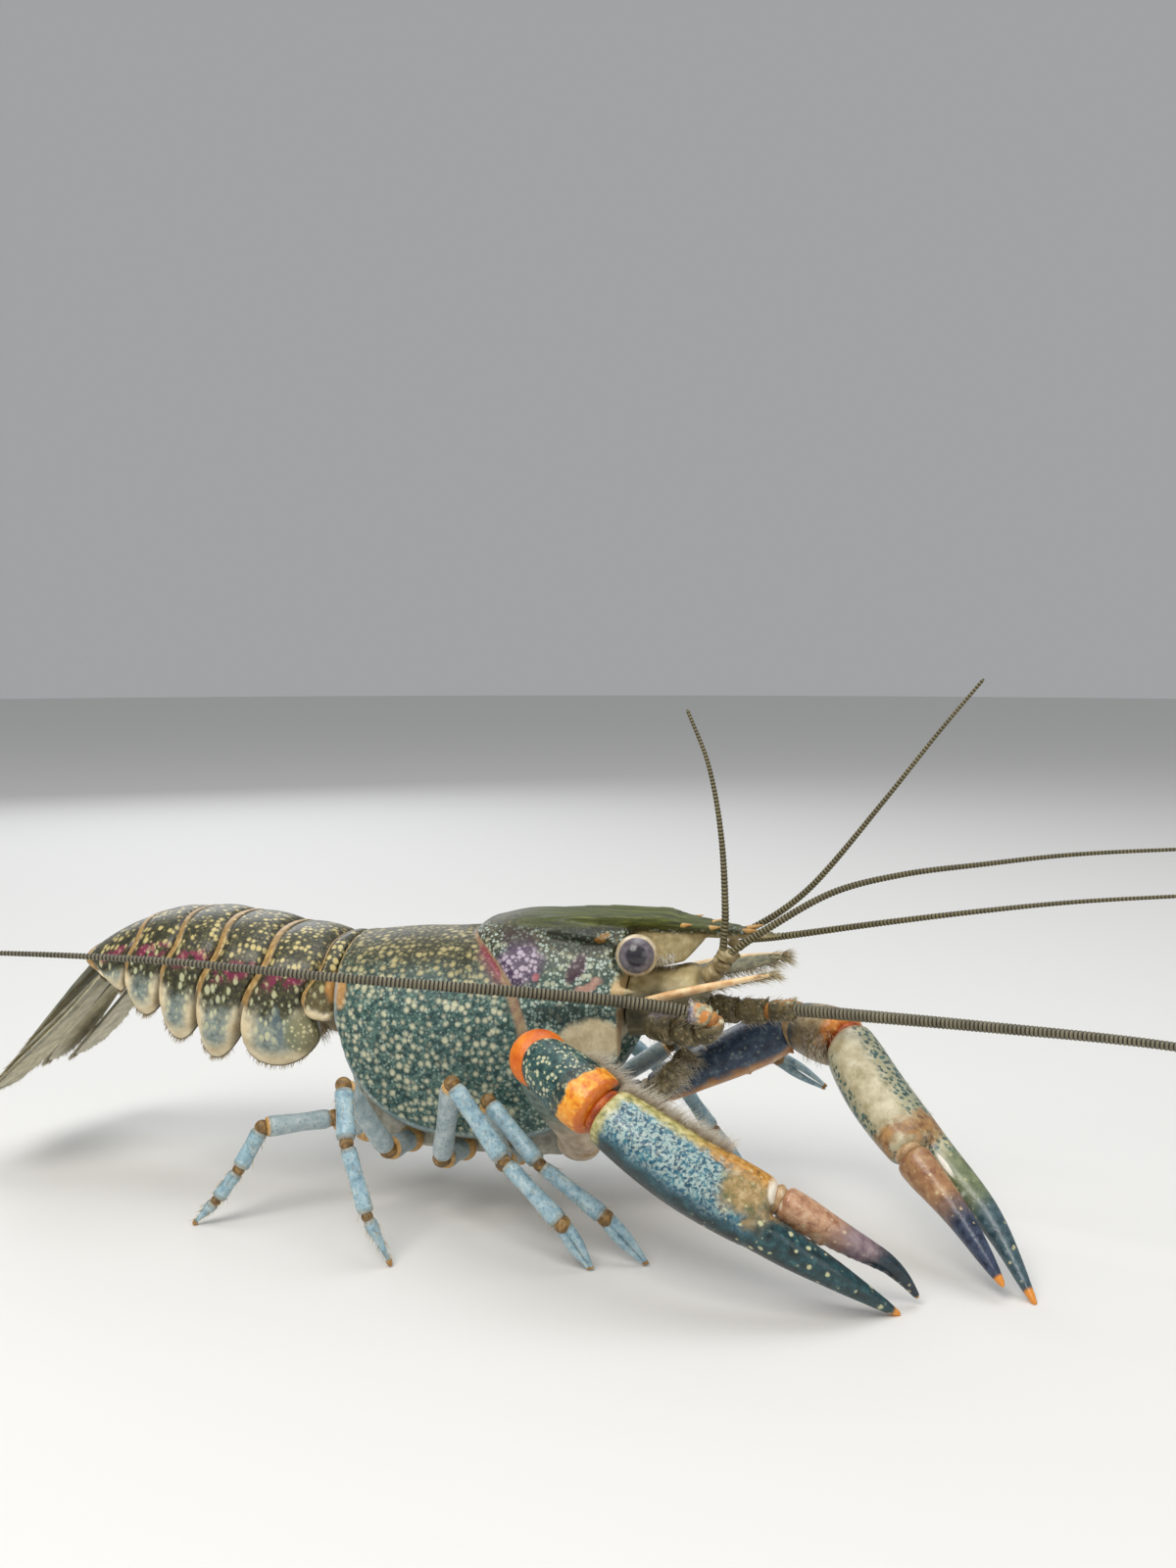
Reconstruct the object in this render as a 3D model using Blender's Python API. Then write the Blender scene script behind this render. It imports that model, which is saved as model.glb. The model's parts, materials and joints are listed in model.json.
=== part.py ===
# A redclaw crayfish, life size, standing on its feet and claw tips.
# Sizes are in millimetres and are turned into metres where points are made.
# x runs from the rear edge of the carapace to the rostrum, y to the animal's left, z up from the floor.
import bmesh
import bpy
from math import cos, exp, pi, radians, sin
from mathutils import Vector

MM = 0.001
GAP = 0.3
SIDES = {"r": -1, "l": 1}
UP = Vector((0, 0, 1))

# Carapace: the rostrum's tip is CARAPACE_LENGTH in front of the rear edge.
CARAPACE_LENGTH = 62.0
FRONT_X = 41.0
CARAPACE_HALF_WIDTH = 14.0
EDGE_WALL = 1.2
RECESS = 3.5
GROOVE_DEPTH = 0.55
GROOVE_HALF_WIDTH = 1.0
STATIONS = 32

# Head
EYE_CENTRE = (43.2, 8.0, 38.6)
EYE_RADIUS = 2.9
ORBIT_RADIUS = 3.7
KEEL_HALF_WIDTH = 2.6
EPISTOME_X = (41.3, 51.0)

# Abdomen: boundary i lies between segments i and i + 1, and number 0 is the carapace's rear edge.
# Each row: top x, top z, lower x, lower z, half width, and how far forwards it bows at two heights.
BOUNDARIES = (
    (-0.15, 38.0, -0.15, 20.5, 10.6, 0.0, 0.0),
    (-2.9, 38.0, -2.4, 24.5, 11.3, -2.2, 0.2),
    (-11.1, 39.3, -15.0, 23.8, 11.9, 0.0, 1.3),
    (-19.2, 40.6, -21.8, 25.2, 11.5, -0.2, 1.4),
    (-26.2, 40.9, -28.2, 27.6, 10.7, 0.0, 1.3),
    (-33.6, 39.8, -34.4, 29.8, 9.5, 0.2, 1.1),
    (-43.4, 34.6, -38.3, 30.6, 7.6, 0.0, 0.0),
)
BOW_HEIGHTS = (0.42, 0.74)
PLEURON_DEPTHS = (1.0, 3.8, 3.6, 3.2, 2.4, 1.0)
PLEURON_WALL = 1.3
PLEURON_NOTCH = 0.14  # how far the notch between two side lobes rises, as a share of the height
PLEOPOD_LENGTHS = (0.0, 7.5, 7.2, 6.4, 5.4, 0.0)

# Tail fan, in its own frame: along the middle line, across to the left, over the upper face.
FAN_ROOT = (-40.85, 32.6)
FAN_SLOPE = radians(46)
PLATE_HALF_THICKNESS = 0.42
TELSON = {
    "start": (0.4, 0.0, 1.05),
    "end": (26.0, 0.0, 0.25),
    "half_widths": (4.6, 5.6, 5.4, 5.0, 4.4, 2.8),
    "arch": 0.3,
    "root_thickness": 1.0,
}
UROPODS = {
    "inner": {
        "start": (0.35, 3.0, -1.1),
        "end": (24.5, 6.6, -1.2),
        "half_widths": (1.6, 2.6, 3.7, 4.4, 4.5, 2.8),
        "arch": 0.0,
        "root_thickness": 0.65,
    },
    "outer": {
        "start": (0.3, 6.7, -2.5),
        "end": (23.0, 11.0, -2.6),
        "half_widths": (1.6, 2.6, 3.7, 4.3, 4.4, 2.8),
        "arch": -0.5,
        "root_thickness": 0.65,
    },
}

# Thorax floor
STERNUM_FRONT = 37.4
STERNUM_HALF_WIDTH = 6.6

LEG_SIDES = 8
FLAGELLUM_SIDES = 6

# Walking legs: root, end of ischium, knee, end of carpus, end of palm, tip.
RIGHT_LEGS = {
    2: (
        (26.0, -6.95, 9.6),
        (25.4, -12.0, 9.4),
        (25.0, -17.4, 19.6),
        (33.0, -20.0, 12.4),
        (42.0, -20.3, 6.2),
        (47.4, -19.6, -0.3),
    ),
    3: (
        (18.0, -6.95, 9.6),
        (16.6, -12.8, 9.6),
        (21.0, -20.5, 22.6),
        (28.8, -22.2, 13.2),
        (37.2, -24.0, 6.2),
        (40.8, -23.0, -0.3),
    ),
    4: (
        (10.0, -6.9, 10.2),
        (8.6, -12.8, 10.2),
        (6.5, -23.0, 22.0),
        (8.6, -27.0, 15.4),
        (12.0, -28.4, 6.4),
        (15.3, -28.4, -0.3),
    ),
    5: (
        (3.2, -7.1, 11.2),
        (-0.4, -10.8, 13.4),
        (-8.3, -17.6, 13.4),
        (-11.2, -19.2, 7.6),
        (-14.0, -20.6, 3.4),
        (-17.0, -21.8, -0.3),
    ),
}
LEFT_LEGS = {
    2: (
        (26.0, 6.95, 9.6),
        (28.0, 12.0, 10.4),
        (43.0, 15.2, 20.4),
        (50.6, 16.6, 21.4),
        (59.2, 17.2, 19.0),
        (66.4, 16.4, 15.2),
    ),
    3: (
        (18.0, 6.95, 9.6),
        (20.0, 12.8, 9.8),
        (35.0, 20.0, 19.6),
        (44.5, 18.0, 13.3),
        (49.4, 17.0, 7.0),
        (55.4, 16.4, -0.3),
    ),
    4: (
        (10.0, 6.9, 10.2),
        (9.6, 12.8, 10.2),
        (13.6, 23.4, 22.4),
        (18.0, 27.0, 15.4),
        (23.4, 28.4, 6.6),
        (27.4, 28.2, -0.3),
    ),
    5: (
        (3.2, 7.1, 11.2),
        (-0.4, 10.8, 13.0),
        (-6.6, 19.0, 15.4),
        (-8.8, 22.2, 9.6),
        (-11.0, 24.6, 4.4),
        (-13.6, 26.4, -0.3),
    ),
}
LEG_RADII = {
    2: (1.6, 1.55, 1.35, 1.15, 1.15, 0.6),
    3: (1.75, 1.65, 1.4, 1.2, 1.2, 0.6),
    4: (1.75, 1.65, 1.4, 1.2, 1.0, 0.55),
    5: (1.65, 1.55, 1.35, 1.1, 0.95, 0.55),
}
PINCER_LEGS = (2, 3)

# Claw arms: joints from the body out, the palm's two middle points, and both fingers' middles and tips.
CLAW_ARMS = {
    "r": {
        "root": (33.6, -6.1, 11.6),
        "ischium": (37.0, -11.6, 13.2),
        "elbow": (34.0, -23.4, 27.6),
        "wrist": (43.8, -28.4, 22.8),
        "palm": (54.6, -30.0, 16.8),
        "hinge": (64.2, -30.2, 12.3),
        "outward": (-0.33, -0.70, -0.64),
        "finger": ((72.7, -30.3, 5.7), (80.4, -26.3, -0.3)),
        "dactyl": ((74.1, -26.2, 8.4), (79.3, -24.3, 4.9), (82.3, -23.2, 0.95)),
    },
    "l": {
        "root": (34.0, 6.05, 11.6),
        "ischium": (41.0, 9.8, 14.6),
        "elbow": (62.4, 12.4, 25.4),
        "wrist": (70.2, 7.0, 24.8),
        "palm": (75.0, 0.2, 19.6),
        "hinge": (81.3, -6.6, 14.2),
        "outward": (0.61, 0.79, -0.1),
        "finger": ((90.4, -11.6, 7.6), (96.2, -19.2, -0.3)),
        "dactyl": ((86.8, -14.2, 8.2), (92.4, -19.7, 2.0)),
    },
}

# Feelers
FLAGELLA = {
    "r": (
        (50.9, -13.0, 32.4),
        (46.0, -14.5, 33.4),
        (33.7, -18.0, 34.8),
        (8.0, -26.0, 37.2),
        (-16.0, -30.0, 39.0),
        (-40.7, -30.0, 38.8),
        (-66.0, -28.4, 37.2),
    ),
    "l": (
        (64.0, 2.0, 30.0),
        (88.6, -4.0, 30.7),
        (112.0, -12.0, 31.5),
        (134.0, -22.0, 31.0),
        (154.0, -34.0, 28.6),
        (170.0, -45.0, 25.6),
    ),
}
FLAGELLUM_RADIUS = ((0.0, 0.88), (0.15, 0.8), (0.5, 0.52), (0.8, 0.33), (1.0, 0.25))
PEDUNCLES = {
    "r": (
        (45.0, -8.3, 29.5),
        (49.6, -9.8, 28.9),
        (53.7, -11.4, 29.7),
        (54.2, -12.2, 31.4),
        (51.2, -12.9, 32.4),
    ),
    "l": ((45.2, 8.2, 29.5), (50.0, 7.0, 28.7), (54.6, 5.2, 28.7), (59.0, 3.7, 29.2), (63.7, 2.1, 30.0)),
}
PEDUNCLE_RADII = (2.0, 2.1, 2.0, 2.1, 1.8, 1.9, 1.65, 1.6, 1.35)
MAXILLIPED = (
    (STERNUM_FRONT + GAP, 3.0, 14.6),
    (42.0, 4.1, 15.6),
    (46.0, 4.5, 18.8),
    (47.2, 4.1, 22.2),
    (49.4, 3.4, 21.4),
)
SCALE_ROOT = (44.8, 9.4, 32.55)
SCALE_TIP = (62.0, 6.8, 36.8)
ANTENNULE_BASE = ((EPISTOME_X[1] + GAP, 2.3, 34.8), (52.7, 2.5, 35.5), (54.1, 3.4, 37.2), (55.0, 4.2, 39.2))
ANTENNULE_RADIUS = ((0.0, 0.55), (0.3, 0.45), (0.7, 0.32), (1.0, 0.25))
ANTENNULES = {
    "r": {
        "outer": ((54.7, -4.4, 44.3), (53.8, -3.2, 55.0), (51.6, -1.0, 64.2), (48.0, 2.0, 71.6)),
        "inner": (
            (59.8, -4.5, 42.0),
            (68.6, 0.8, 46.9),
            (77.6, 4.4, 49.2),
            (88.0, 8.0, 50.5),
            (101.0, 12.5, 51.8),
            (119.0, 18.0, 52.6),
        ),
    },
    "l": {
        "outer": (
            (60.9, 4.4, 43.3),
            (66.1, 4.6, 48.0),
            (74.8, 5.0, 59.0),
            (82.4, 6.0, 69.1),
            (87.9, 7.4, 76.0),
        ),
        "inner": (
            (62.6, 3.8, 40.2),
            (75.2, 3.9, 42.5),
            (88.1, 5.0, 44.5),
            (100.9, 6.5, 46.1),
            (119.0, 8.4, 47.6),
        ),
    },
}


def point(x, y, z):
    return Vector((x, y, z)) * MM


def mirrored(place, sign):
    """A point given for the left side, moved to the side that sign names."""
    return (place[0], place[1] * sign, place[2])


def value_at(rows, t):
    """The value at t on a smooth curve through (t, value) rows."""
    i = 0
    while i < len(rows) - 2 and t > rows[i + 1][0]:
        i += 1
    before, here, there, after = (rows[min(max(k, 0), len(rows) - 1)] for k in range(i - 1, i + 3))
    span = there[0] - here[0]
    slope_here = (there[1] - before[1]) / (there[0] - before[0]) * span
    slope_there = (after[1] - here[1]) / (after[0] - here[0]) * span
    s = min(max((t - here[0]) / span, 0.0), 1.0)
    return (
        here[1] * (2 * s**3 - 3 * s**2 + 1)
        + slope_here * (s**3 - 2 * s**2 + s)
        + there[1] * (3 * s**2 - 2 * s**3)
        + slope_there * (s**3 - s**2)
    )


def curve_through(points, count):
    """Evenly spread points on a smooth curve through the given ones."""
    marks = [0.0]
    for a, b in zip(points, points[1:]):
        marks.append(marks[-1] + (b - a).length)
    rows = [[(mark, p[axis]) for mark, p in zip(marks, points)] for axis in range(3)]
    steps = [marks[-1] * i / (count - 1) for i in range(count)]
    return [Vector([value_at(row, step) for row in rows]) for step in steps]


def courses(path, sizes, first=None, last=None, held=None):
    """The direction of the path at each point, turned gently near bends so that rings don't cross."""
    plain = []
    for i, centre in enumerate(path):
        ahead = Vector()
        if i > 0:
            ahead += (centre - path[i - 1]).normalized()
        if i < len(path) - 1:
            ahead += (path[i + 1] - centre).normalized()
        plain.append(ahead.normalized())
    if first is not None:
        plain[0] = first.normalized()
    if last is not None:
        plain[-1] = last.normalized()
    held = held or {}
    for i, ahead in held.items():
        plain[i] = ahead
    turned = list(plain)
    for i in set(range(1, len(path) - 1)) - set(held):
        total = Vector()
        for k in (i - 1, i, i + 1):
            near = 1 - (path[k] - path[i]).length / (2.2 * sizes[i] * MM)
            total += plain[k] * (max(near, 0) if k != i else 1)
        turned[i] = total.normalized()
    return turned


def tube_rings(path, widths, heights, sides, up=UP, first=None, last=None, held=None):
    """Elliptical rings along a path, square to it; widths and heights are half sizes in mm."""
    rings = []
    across = None
    for centre, ahead, width, height in zip(path, courses(path, widths, first, last, held), widths, heights):
        if across is None:
            across = ahead.cross(up).normalized()
        across = (across - ahead * across.dot(ahead)).normalized()
        over = across.cross(ahead)
        turns = [2 * pi * (k + 0.5) / sides for k in range(sides)]
        rings.append([centre + across * cos(a) * width * MM + over * sin(a) * height * MM for a in turns])
    return rings


def new_object(name, bm):
    bmesh.ops.recalc_face_normals(bm, faces=bm.faces)
    mesh = bpy.data.meshes.new(name)
    bm.to_mesh(mesh)
    bm.free()
    obj = bpy.data.objects.new(name, mesh)
    bpy.context.scene.collection.objects.link(obj)
    return obj


def skin(name, rings, on_floor=False):
    """A closed solid over a row of rings, cut flat at the floor if it stands there."""
    bm = bmesh.new()
    loops = [[bm.verts.new(p) for p in ring] for ring in rings]
    for loop, following in zip(loops, loops[1:]):
        for k in range(len(loop)):
            n = (k + 1) % len(loop)
            bm.faces.new((loop[k], loop[n], following[n], following[k]))
    bm.faces.new(loops[0][::-1])
    bm.faces.new(loops[-1])
    if on_floor:
        geometry = bm.verts[:] + bm.edges[:] + bm.faces[:]
        bmesh.ops.bisect_plane(bm, geom=geometry, plane_co=(0, 0, 0), plane_no=UP, clear_inner=True)
        bmesh.ops.holes_fill(bm, edges=[edge for edge in bm.edges if edge.is_boundary])
    bmesh.ops.triangulate(bm, faces=bm.faces)
    return new_object(name, bm)


def tube(name, path, radii, sides=LEG_SIDES, up=UP, first=None, last=None, on_floor=False):
    return skin(name, tube_rings(path, radii, radii, sides, up, first, last), on_floor)


def ball(name, centre, radius, rings=8, segments=12):
    bm = bmesh.new()
    bmesh.ops.create_uvsphere(bm, u_segments=segments, v_segments=rings, radius=radius * MM)
    bmesh.ops.translate(bm, vec=point(*centre), verts=bm.verts)
    return new_object(name, bm)


def spine(name, root, tip, radius):
    """A tapered spine whose root lies inside what it grows on."""
    path = [point(*root).lerp(point(*tip), t) for t in (0.0, 0.55, 1.0)]
    return tube(name, path, (radius, radius * 0.7, radius * 0.18), 5, Vector((0.31, 0.87, 0.38)))


def keep_largest(bm):
    remaining = set(bm.verts)
    shells = []
    while remaining:
        shell = set()
        front = [next(iter(remaining))]
        while front:
            vert = front.pop()
            if vert not in shell:
                shell.add(vert)
                front.extend(edge.other_vert(vert) for edge in vert.link_edges)
        remaining -= shell
        shells.append(shell)
    shells.sort(key=len)
    loose = [vert for shell in shells[:-1] for vert in shell]
    bmesh.ops.delete(bm, geom=loose, context="VERTS")


def combine(name, base, others, operation="UNION"):
    """One Boolean of base with all the others, keeping the largest closed surface."""
    group = bpy.data.collections.new(name + "_parts")
    bpy.context.scene.collection.children.link(group)
    for other in others:
        bpy.context.scene.collection.objects.unlink(other)
        group.objects.link(other)
    modifier = base.modifiers.new("combine", "BOOLEAN")
    modifier.operation = operation
    modifier.solver = "MANIFOLD"
    modifier.operand_type = "COLLECTION"
    modifier.collection = group
    evaluated = base.evaluated_get(bpy.context.evaluated_depsgraph_get())
    bm = bmesh.new()
    bm.from_mesh(evaluated.to_mesh())
    evaluated.to_mesh_clear()
    for obj in list(group.objects) + [base]:
        bpy.data.objects.remove(obj)
    bpy.data.collections.remove(group)
    keep_largest(bm)
    bmesh.ops.triangulate(bm, faces=bm.faces)
    return new_object(name, bm)


# Carapace, by its outlines from the rear edge (x = 0) to the front edge

TOP_LINE = ((0, 38.5), (8, 39.5), (17, 40.2), (21, 41.9), (26, 43.1), (34, 43.2), (41, 42.4))
SIDE_LINE = ((0, 11.4), (5, 13.3), (12, CARAPACE_HALF_WIDTH), (20, 13.7), (28, 12.6), (35, 11.0), (41, 9.4))
WIDEST_LINE = ((0, 30.0), (8, 27.0), (20, 25.0), (30, 27.0), (41, 31.0))
LOW_LINE = (
    (0, 28.0),
    (2, 22.6),
    (5, 18.4),
    (9, 14.9),
    (14, 12.9),
    (22, 12.2),
    (28, 12.6),
    (33, 14.6),
    (37, 18.4),
    (41, 25.0),
)
LOW_SIDE_LINE = ((0, 11.2), (5, 12.6), (13, 11.4), (25, 9.6), (33, 8.8), (41, 8.4))

# The groove across the carapace: height, x
GROOVE_LINE = ((22.0, 28.9), (27.8, 28.2), (30.4, 27.4), (33.7, 26.0), (36.7, 23.6), (39.0, 20.8), (40.6, 17.6))

# Rostrum sections: x, half width, top, thickness
ROSTRUM = (
    (30.0, 5.2, 43.1, 2.3),
    (36.0, 5.0, 43.5, 2.6),
    (41.0, 4.4, 43.6, 3.3),
    (45.6, 3.8, 43.6, 3.5),
    (48.0, 3.5, 42.9, 2.9),
    (51.0, 3.1, 42.4, 2.4),
    (55.0, 2.3, 41.9, 1.9),
    (58.5, 1.4, 41.3, 1.2),
    (CARAPACE_LENGTH, 0.35, 41.2, 0.6),
)
ROSTRAL_SPINES = ((48.4, 3.5, 42.2), (52.2, 2.8, 41.9), (57.2, 1.8, 41.5))
ORBITAL_RIDGE = ((27, 6.6, 41.2), (32, 7.4, 41.4), (36.5, 7.6, 41.0), (40.2, 7.4, 40.6))


def recess_ceiling(x):
    """The height of the hollow under the carapace."""
    return min(value_at(LOW_LINE, x) + RECESS, value_at(WIDEST_LINE, x) - 1.0)


def carapace_ring(x):
    top = value_at(TOP_LINE, x)
    side = value_at(SIDE_LINE, x)
    widest = value_at(WIDEST_LINE, x)
    low = value_at(LOW_LINE, x)
    low_side = value_at(LOW_SIDE_LINE, x)
    outer = []
    for k in range(9):
        turn = pi / 2 * k / 8
        outer.append((side * sin(turn) ** 0.92, widest + (top - widest) * cos(turn) ** 0.9))
    for k in range(1, 5):
        turn = pi / 2 * k / 4
        outer.append((low_side + (side - low_side) * cos(turn), widest - (widest - low) * sin(turn)))
    half = []
    for y, z in outer:
        away = (x - value_at(GROOVE_LINE, z)) / GROOVE_HALF_WIDTH
        dent = GROOVE_DEPTH * exp(-away * away) if z > 22 else 0.0
        shrink = 1 - dent / CARAPACE_HALF_WIDTH
        half.append((y * shrink, widest + (z - widest) * shrink))
    half.append((low_side - EDGE_WALL, low + 0.1))
    half.append((low_side - EDGE_WALL - 0.4, recess_ceiling(x)))
    left = [point(x, y, z) for y, z in half]
    right = [point(x, -y, z) for y, z in half[1:]]
    return left + right[::-1]


def rostrum_ring(x, half_width, top, thickness):
    """A beak section with raised edges, a shallow trough between them and a keel below."""
    outline = ((0.0, 0.35), (0.62, 0.18), (0.9, 0.0), (1.0, 0.3), (0.72, 0.75), (0.0, 1.0))
    left = [point(x, y * half_width, top - down * thickness) for y, down in outline]
    right = [point(x, -y * half_width, top - down * thickness) for y, down in outline[1:-1]]
    return left + right[::-1]


def make_carapace():
    stations = [FRONT_X * i / (STATIONS - 1) for i in range(STATIONS)]
    shell = skin("shell", [carapace_ring(x) for x in stations])
    pieces = [skin("rostrum", [rostrum_ring(*row) for row in ROSTRUM])]
    keel = []
    for x, low in ((39.0, 36.0), (45.5, 36.1), (49.5, 37.0)):
        corners = ((-1, low), (-1, 41.0), (1, 41.0), (1, low))
        keel.append([point(x, KEEL_HALF_WIDTH * side, z) for side, z in corners])
    pieces.append(skin("keel", keel))
    for sign in SIDES.values():
        for x, y, z in ROSTRAL_SPINES:
            root = (x - 0.5, (y - 0.7) * sign, z - 0.2)
            pieces.append(spine("rostral_spine", root, (x + 2.0, (y + 0.8) * sign, z + 0.3), 0.55))
        ridge = [point(*mirrored(place, sign)) for place in ORBITAL_RIDGE]
        pieces.append(tube("orbital_ridge", ridge, (0.4, 0.75, 0.8, 0.3), 6))
        pieces.append(spine("cheek_spine", (40.0, 8.9 * sign, 33.6), (43.6, 9.6 * sign, 33.9), 0.7))
    joined = combine("joined", shell, pieces)
    orbits = [ball("orbit", mirrored(EYE_CENTRE, sign), ORBIT_RADIUS, 10, 14) for sign in SIDES.values()]
    return combine("carapace", joined, orbits, "DIFFERENCE")


# Thorax floor, between the legs, and the front of the head

STERNUM_LOW_LINE = ((0, 20.5), (1.5, 14.0), (4, 9.4), (10, 8.2), (24, 8.0), (33, 8.6), (STERNUM_FRONT, 11.5))
STERNUM_SIDE_LINE = (
    (0, 6.9),
    (6, STERNUM_HALF_WIDTH),
    (26, STERNUM_HALF_WIDTH),
    (31, 5.9),
    (STERNUM_FRONT, 4.4),
)


def sternum_ring(x):
    low = value_at(STERNUM_LOW_LINE, x)
    ceiling = recess_ceiling(x) - GAP * 1.5
    half = value_at(STERNUM_SIDE_LINE, x)
    outline = ((half * 0.55, low), (half, low + 1.1), (half, ceiling - 0.6), (half - 0.6, ceiling))
    left = [point(x, y, z) for y, z in outline]
    right = [point(x, -y, z) for y, z in outline]
    return left + right[::-1]


def make_sternum():
    return skin("sternum", [sternum_ring(STERNUM_FRONT * i / 14) for i in range(15)])


def make_epistome():
    start, end = EPISTOME_X
    middle_line = ((start, 30.6), (43, 30.8), (46, 31.4), (48.5, 32.7), (50.2, 33.9), (end, 34.4))
    path = [point(x, 0, z) for x, z in middle_line]
    widths = (6.6, 6.4, 5.6, 4.7, 3.9, 3.4)
    heights = (5.0, 4.8, 4.3, 3.6, 2.9, 2.6)
    return skin("epistome", tube_rings(path, widths, heights, 12, UP, Vector((1, 0, 0)), Vector((1, 0, 0))))


# Abdomen

def segment_ring(number, t):
    """A section of an abdomen segment (numbered from 0) at t from its front (0) to its rear (1)."""
    front, rear = BOUNDARIES[number], BOUNDARIES[number + 1]
    row = [a + (b - a) * t for a, b in zip(front, rear)]
    last = len(BOUNDARIES) - 2
    insets = ((0, 0.8 if number else 0.58), (1, -0.8 if number < last else -0.58))
    inset = GAP * value_at(insets, t)
    crown = 1 - (2 * t - 1) ** 2
    top = Vector((row[0] - inset, row[1] + 0.45 * crown))
    low = Vector((row[2] - inset, row[3]))
    flare = value_at(((0, 0.955), (0.2, 0.985), (0.6, 1.0), (0.92, 1.015), (1, 0.985)), t)
    half_width = row[4] * flare
    height = (top - low).length
    up = (top - low).normalized()
    rounding = max(crown, 0.0) ** 0.5
    edge = PLEURON_NOTCH * height * (1 - rounding) - PLEURON_DEPTHS[number] * rounding
    shoulder = height * 0.2
    half = []
    for k in range(7):
        turn = pi / 2 * k / 6
        half.append((half_width * sin(turn) ** 0.9, height * (0.42 + 0.58 * cos(turn) ** 0.85 * flare)))
    half.append((half_width * 0.995, shoulder))
    half.append((half_width * 0.96, edge + (shoulder - edge) * 0.4))
    half.append((half_width * 0.9, edge))
    half.append((half_width * 0.9 - PLEURON_WALL, edge + 0.2))
    half.append((half_width * 0.86 - PLEURON_WALL, 0.22 * height))
    ring = []
    bow_rows = ((0, 0), (BOW_HEIGHTS[0], row[5]), (BOW_HEIGHTS[1], row[6]), (1, 0))
    for y, h in half + [(-y, h) for y, h in half[:0:-1]]:
        place = low + up * h
        place.x += value_at(bow_rows, min(max(h / height, 0.0), 1.0))
        ring.append(point(place.x, y, place.y))
    return ring


def make_pleopod(number, sign):
    """A swimmeret: a flat blade that hangs from the belly and leans back."""
    front, rear = BOUNDARIES[number], BOUNDARIES[number + 1]
    x = (front[2] + rear[2]) / 2
    z = (front[3] + rear[3]) / 2 + 5.0
    length = PLEOPOD_LENGTHS[number]
    root = point(x, 5.0 * sign, z)
    knee = point(x - 0.6, 5.8 * sign, z - 0.62 * length)
    tip = point(x - 2.6, 6.2 * sign, z - 1.15 * length)
    path = curve_through((root, knee, tip), 5)
    rings = tube_rings(path, (1.0, 1.2, 1.5, 1.3, 0.5), (0.6, 0.6, 0.5, 0.4, 0.3), 6, Vector((0, 1, 0)))
    return skin("pleopod", rings)


def make_abdomen():
    segments = []
    for number in range(len(BOUNDARIES) - 1):
        name = f"abdomen_{number + 1}"
        rings = [segment_ring(number, t) for t in (0, 0.12, 0.3, 0.5, 0.7, 0.88, 1)]
        if PLEOPOD_LENGTHS[number]:
            limbs = [make_pleopod(number, sign) for sign in SIDES.values()]
            segments.append(combine(name, skin("tergite", rings), limbs))
        else:
            segments.append(skin(name, rings))
    return segments


# Tail fan

def fan_point(along, across, over):
    x = FAN_ROOT[0] - along * cos(FAN_SLOPE) - over * sin(FAN_SLOPE)
    z = FAN_ROOT[1] - along * sin(FAN_SLOPE) + over * cos(FAN_SLOPE)
    return point(x, across, z)


def fan_plate(name, shape, sign=1):
    """A leaf-shaped plate, thick at its root, whose sides droop a little."""
    start = Vector(mirrored(shape["start"], sign))
    end = Vector(mirrored(shape["end"], sign))
    course = (end - start).normalized()
    sideways = Vector((-course.y, course.x, 0)).normalized()
    widths = shape["half_widths"]
    upper = ((-1, 0), (-0.8, 1), (-0.3, 1), (0.3, 1), (0.8, 1), (1, 0))
    outline = upper + tuple((side, -over) for side, over in upper[-2:0:-1])
    rings = []
    for i, width in enumerate(widths):
        t = (i / (len(widths) - 1)) ** 0.9
        centre = start.lerp(end, t)
        lift = shape["arch"] * 4 * t * (1 - t)
        thick = PLATE_HALF_THICKNESS + (shape["root_thickness"] - PLATE_HALF_THICKNESS) * max(1 - 3 * t, 0)
        ring = []
        for side, over in outline:
            spot = centre + sideways * side * width
            droop = 0.07 * width * side * side
            ring.append(fan_point(spot.x, spot.y, spot.z + lift - droop + over * thick))
        rings.append(ring)
    return skin(name, rings)


def make_tail_fan():
    plates = [fan_plate("telson", TELSON)]
    for side, sign in SIDES.items():
        plates += [fan_plate(f"uropod_{side}_{which}", shape, sign) for which, shape in UROPODS.items()]
    return plates


# Limbs

LIMB_PROFILE = ((0.0, 0.74), (0.17, 0.93), (0.45, 0.9), (0.82, 1.06), (1.0, 0.74))
TIP_PROFILE = ((0.0, 0.74), (0.17, 0.97), (0.5, 0.78), (0.82, 0.5), (1.0, 0.3))


def limb(name, joints, radii, sides=LEG_SIDES, up=Vector((1, 0, 0.2)), first=None, last=None, tip=None):
    """Segments from joint to joint, waisted at each; tip is None, or whether a tapered end stands."""
    path = []
    sizes = []
    for k, (a, b) in enumerate(zip(joints, joints[1:])):
        at_end = k == len(joints) - 2
        for t, scale in TIP_PROFILE if at_end and tip is not None else LIMB_PROFILE:
            if t < 1.0 or at_end:
                path.append(a.lerp(b, t))
                sizes.append((radii[k] + (radii[k + 1] - radii[k]) * t) * scale)
    return tube(name, path, sizes, sides, up, first, last, on_floor=bool(tip))


def joint_turn(a, b, c):
    """The direction square to a joint's meeting faces, between segments a-b and b-c."""
    return ((b - a).normalized() + (c - b).normalized()).normalized()


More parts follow.
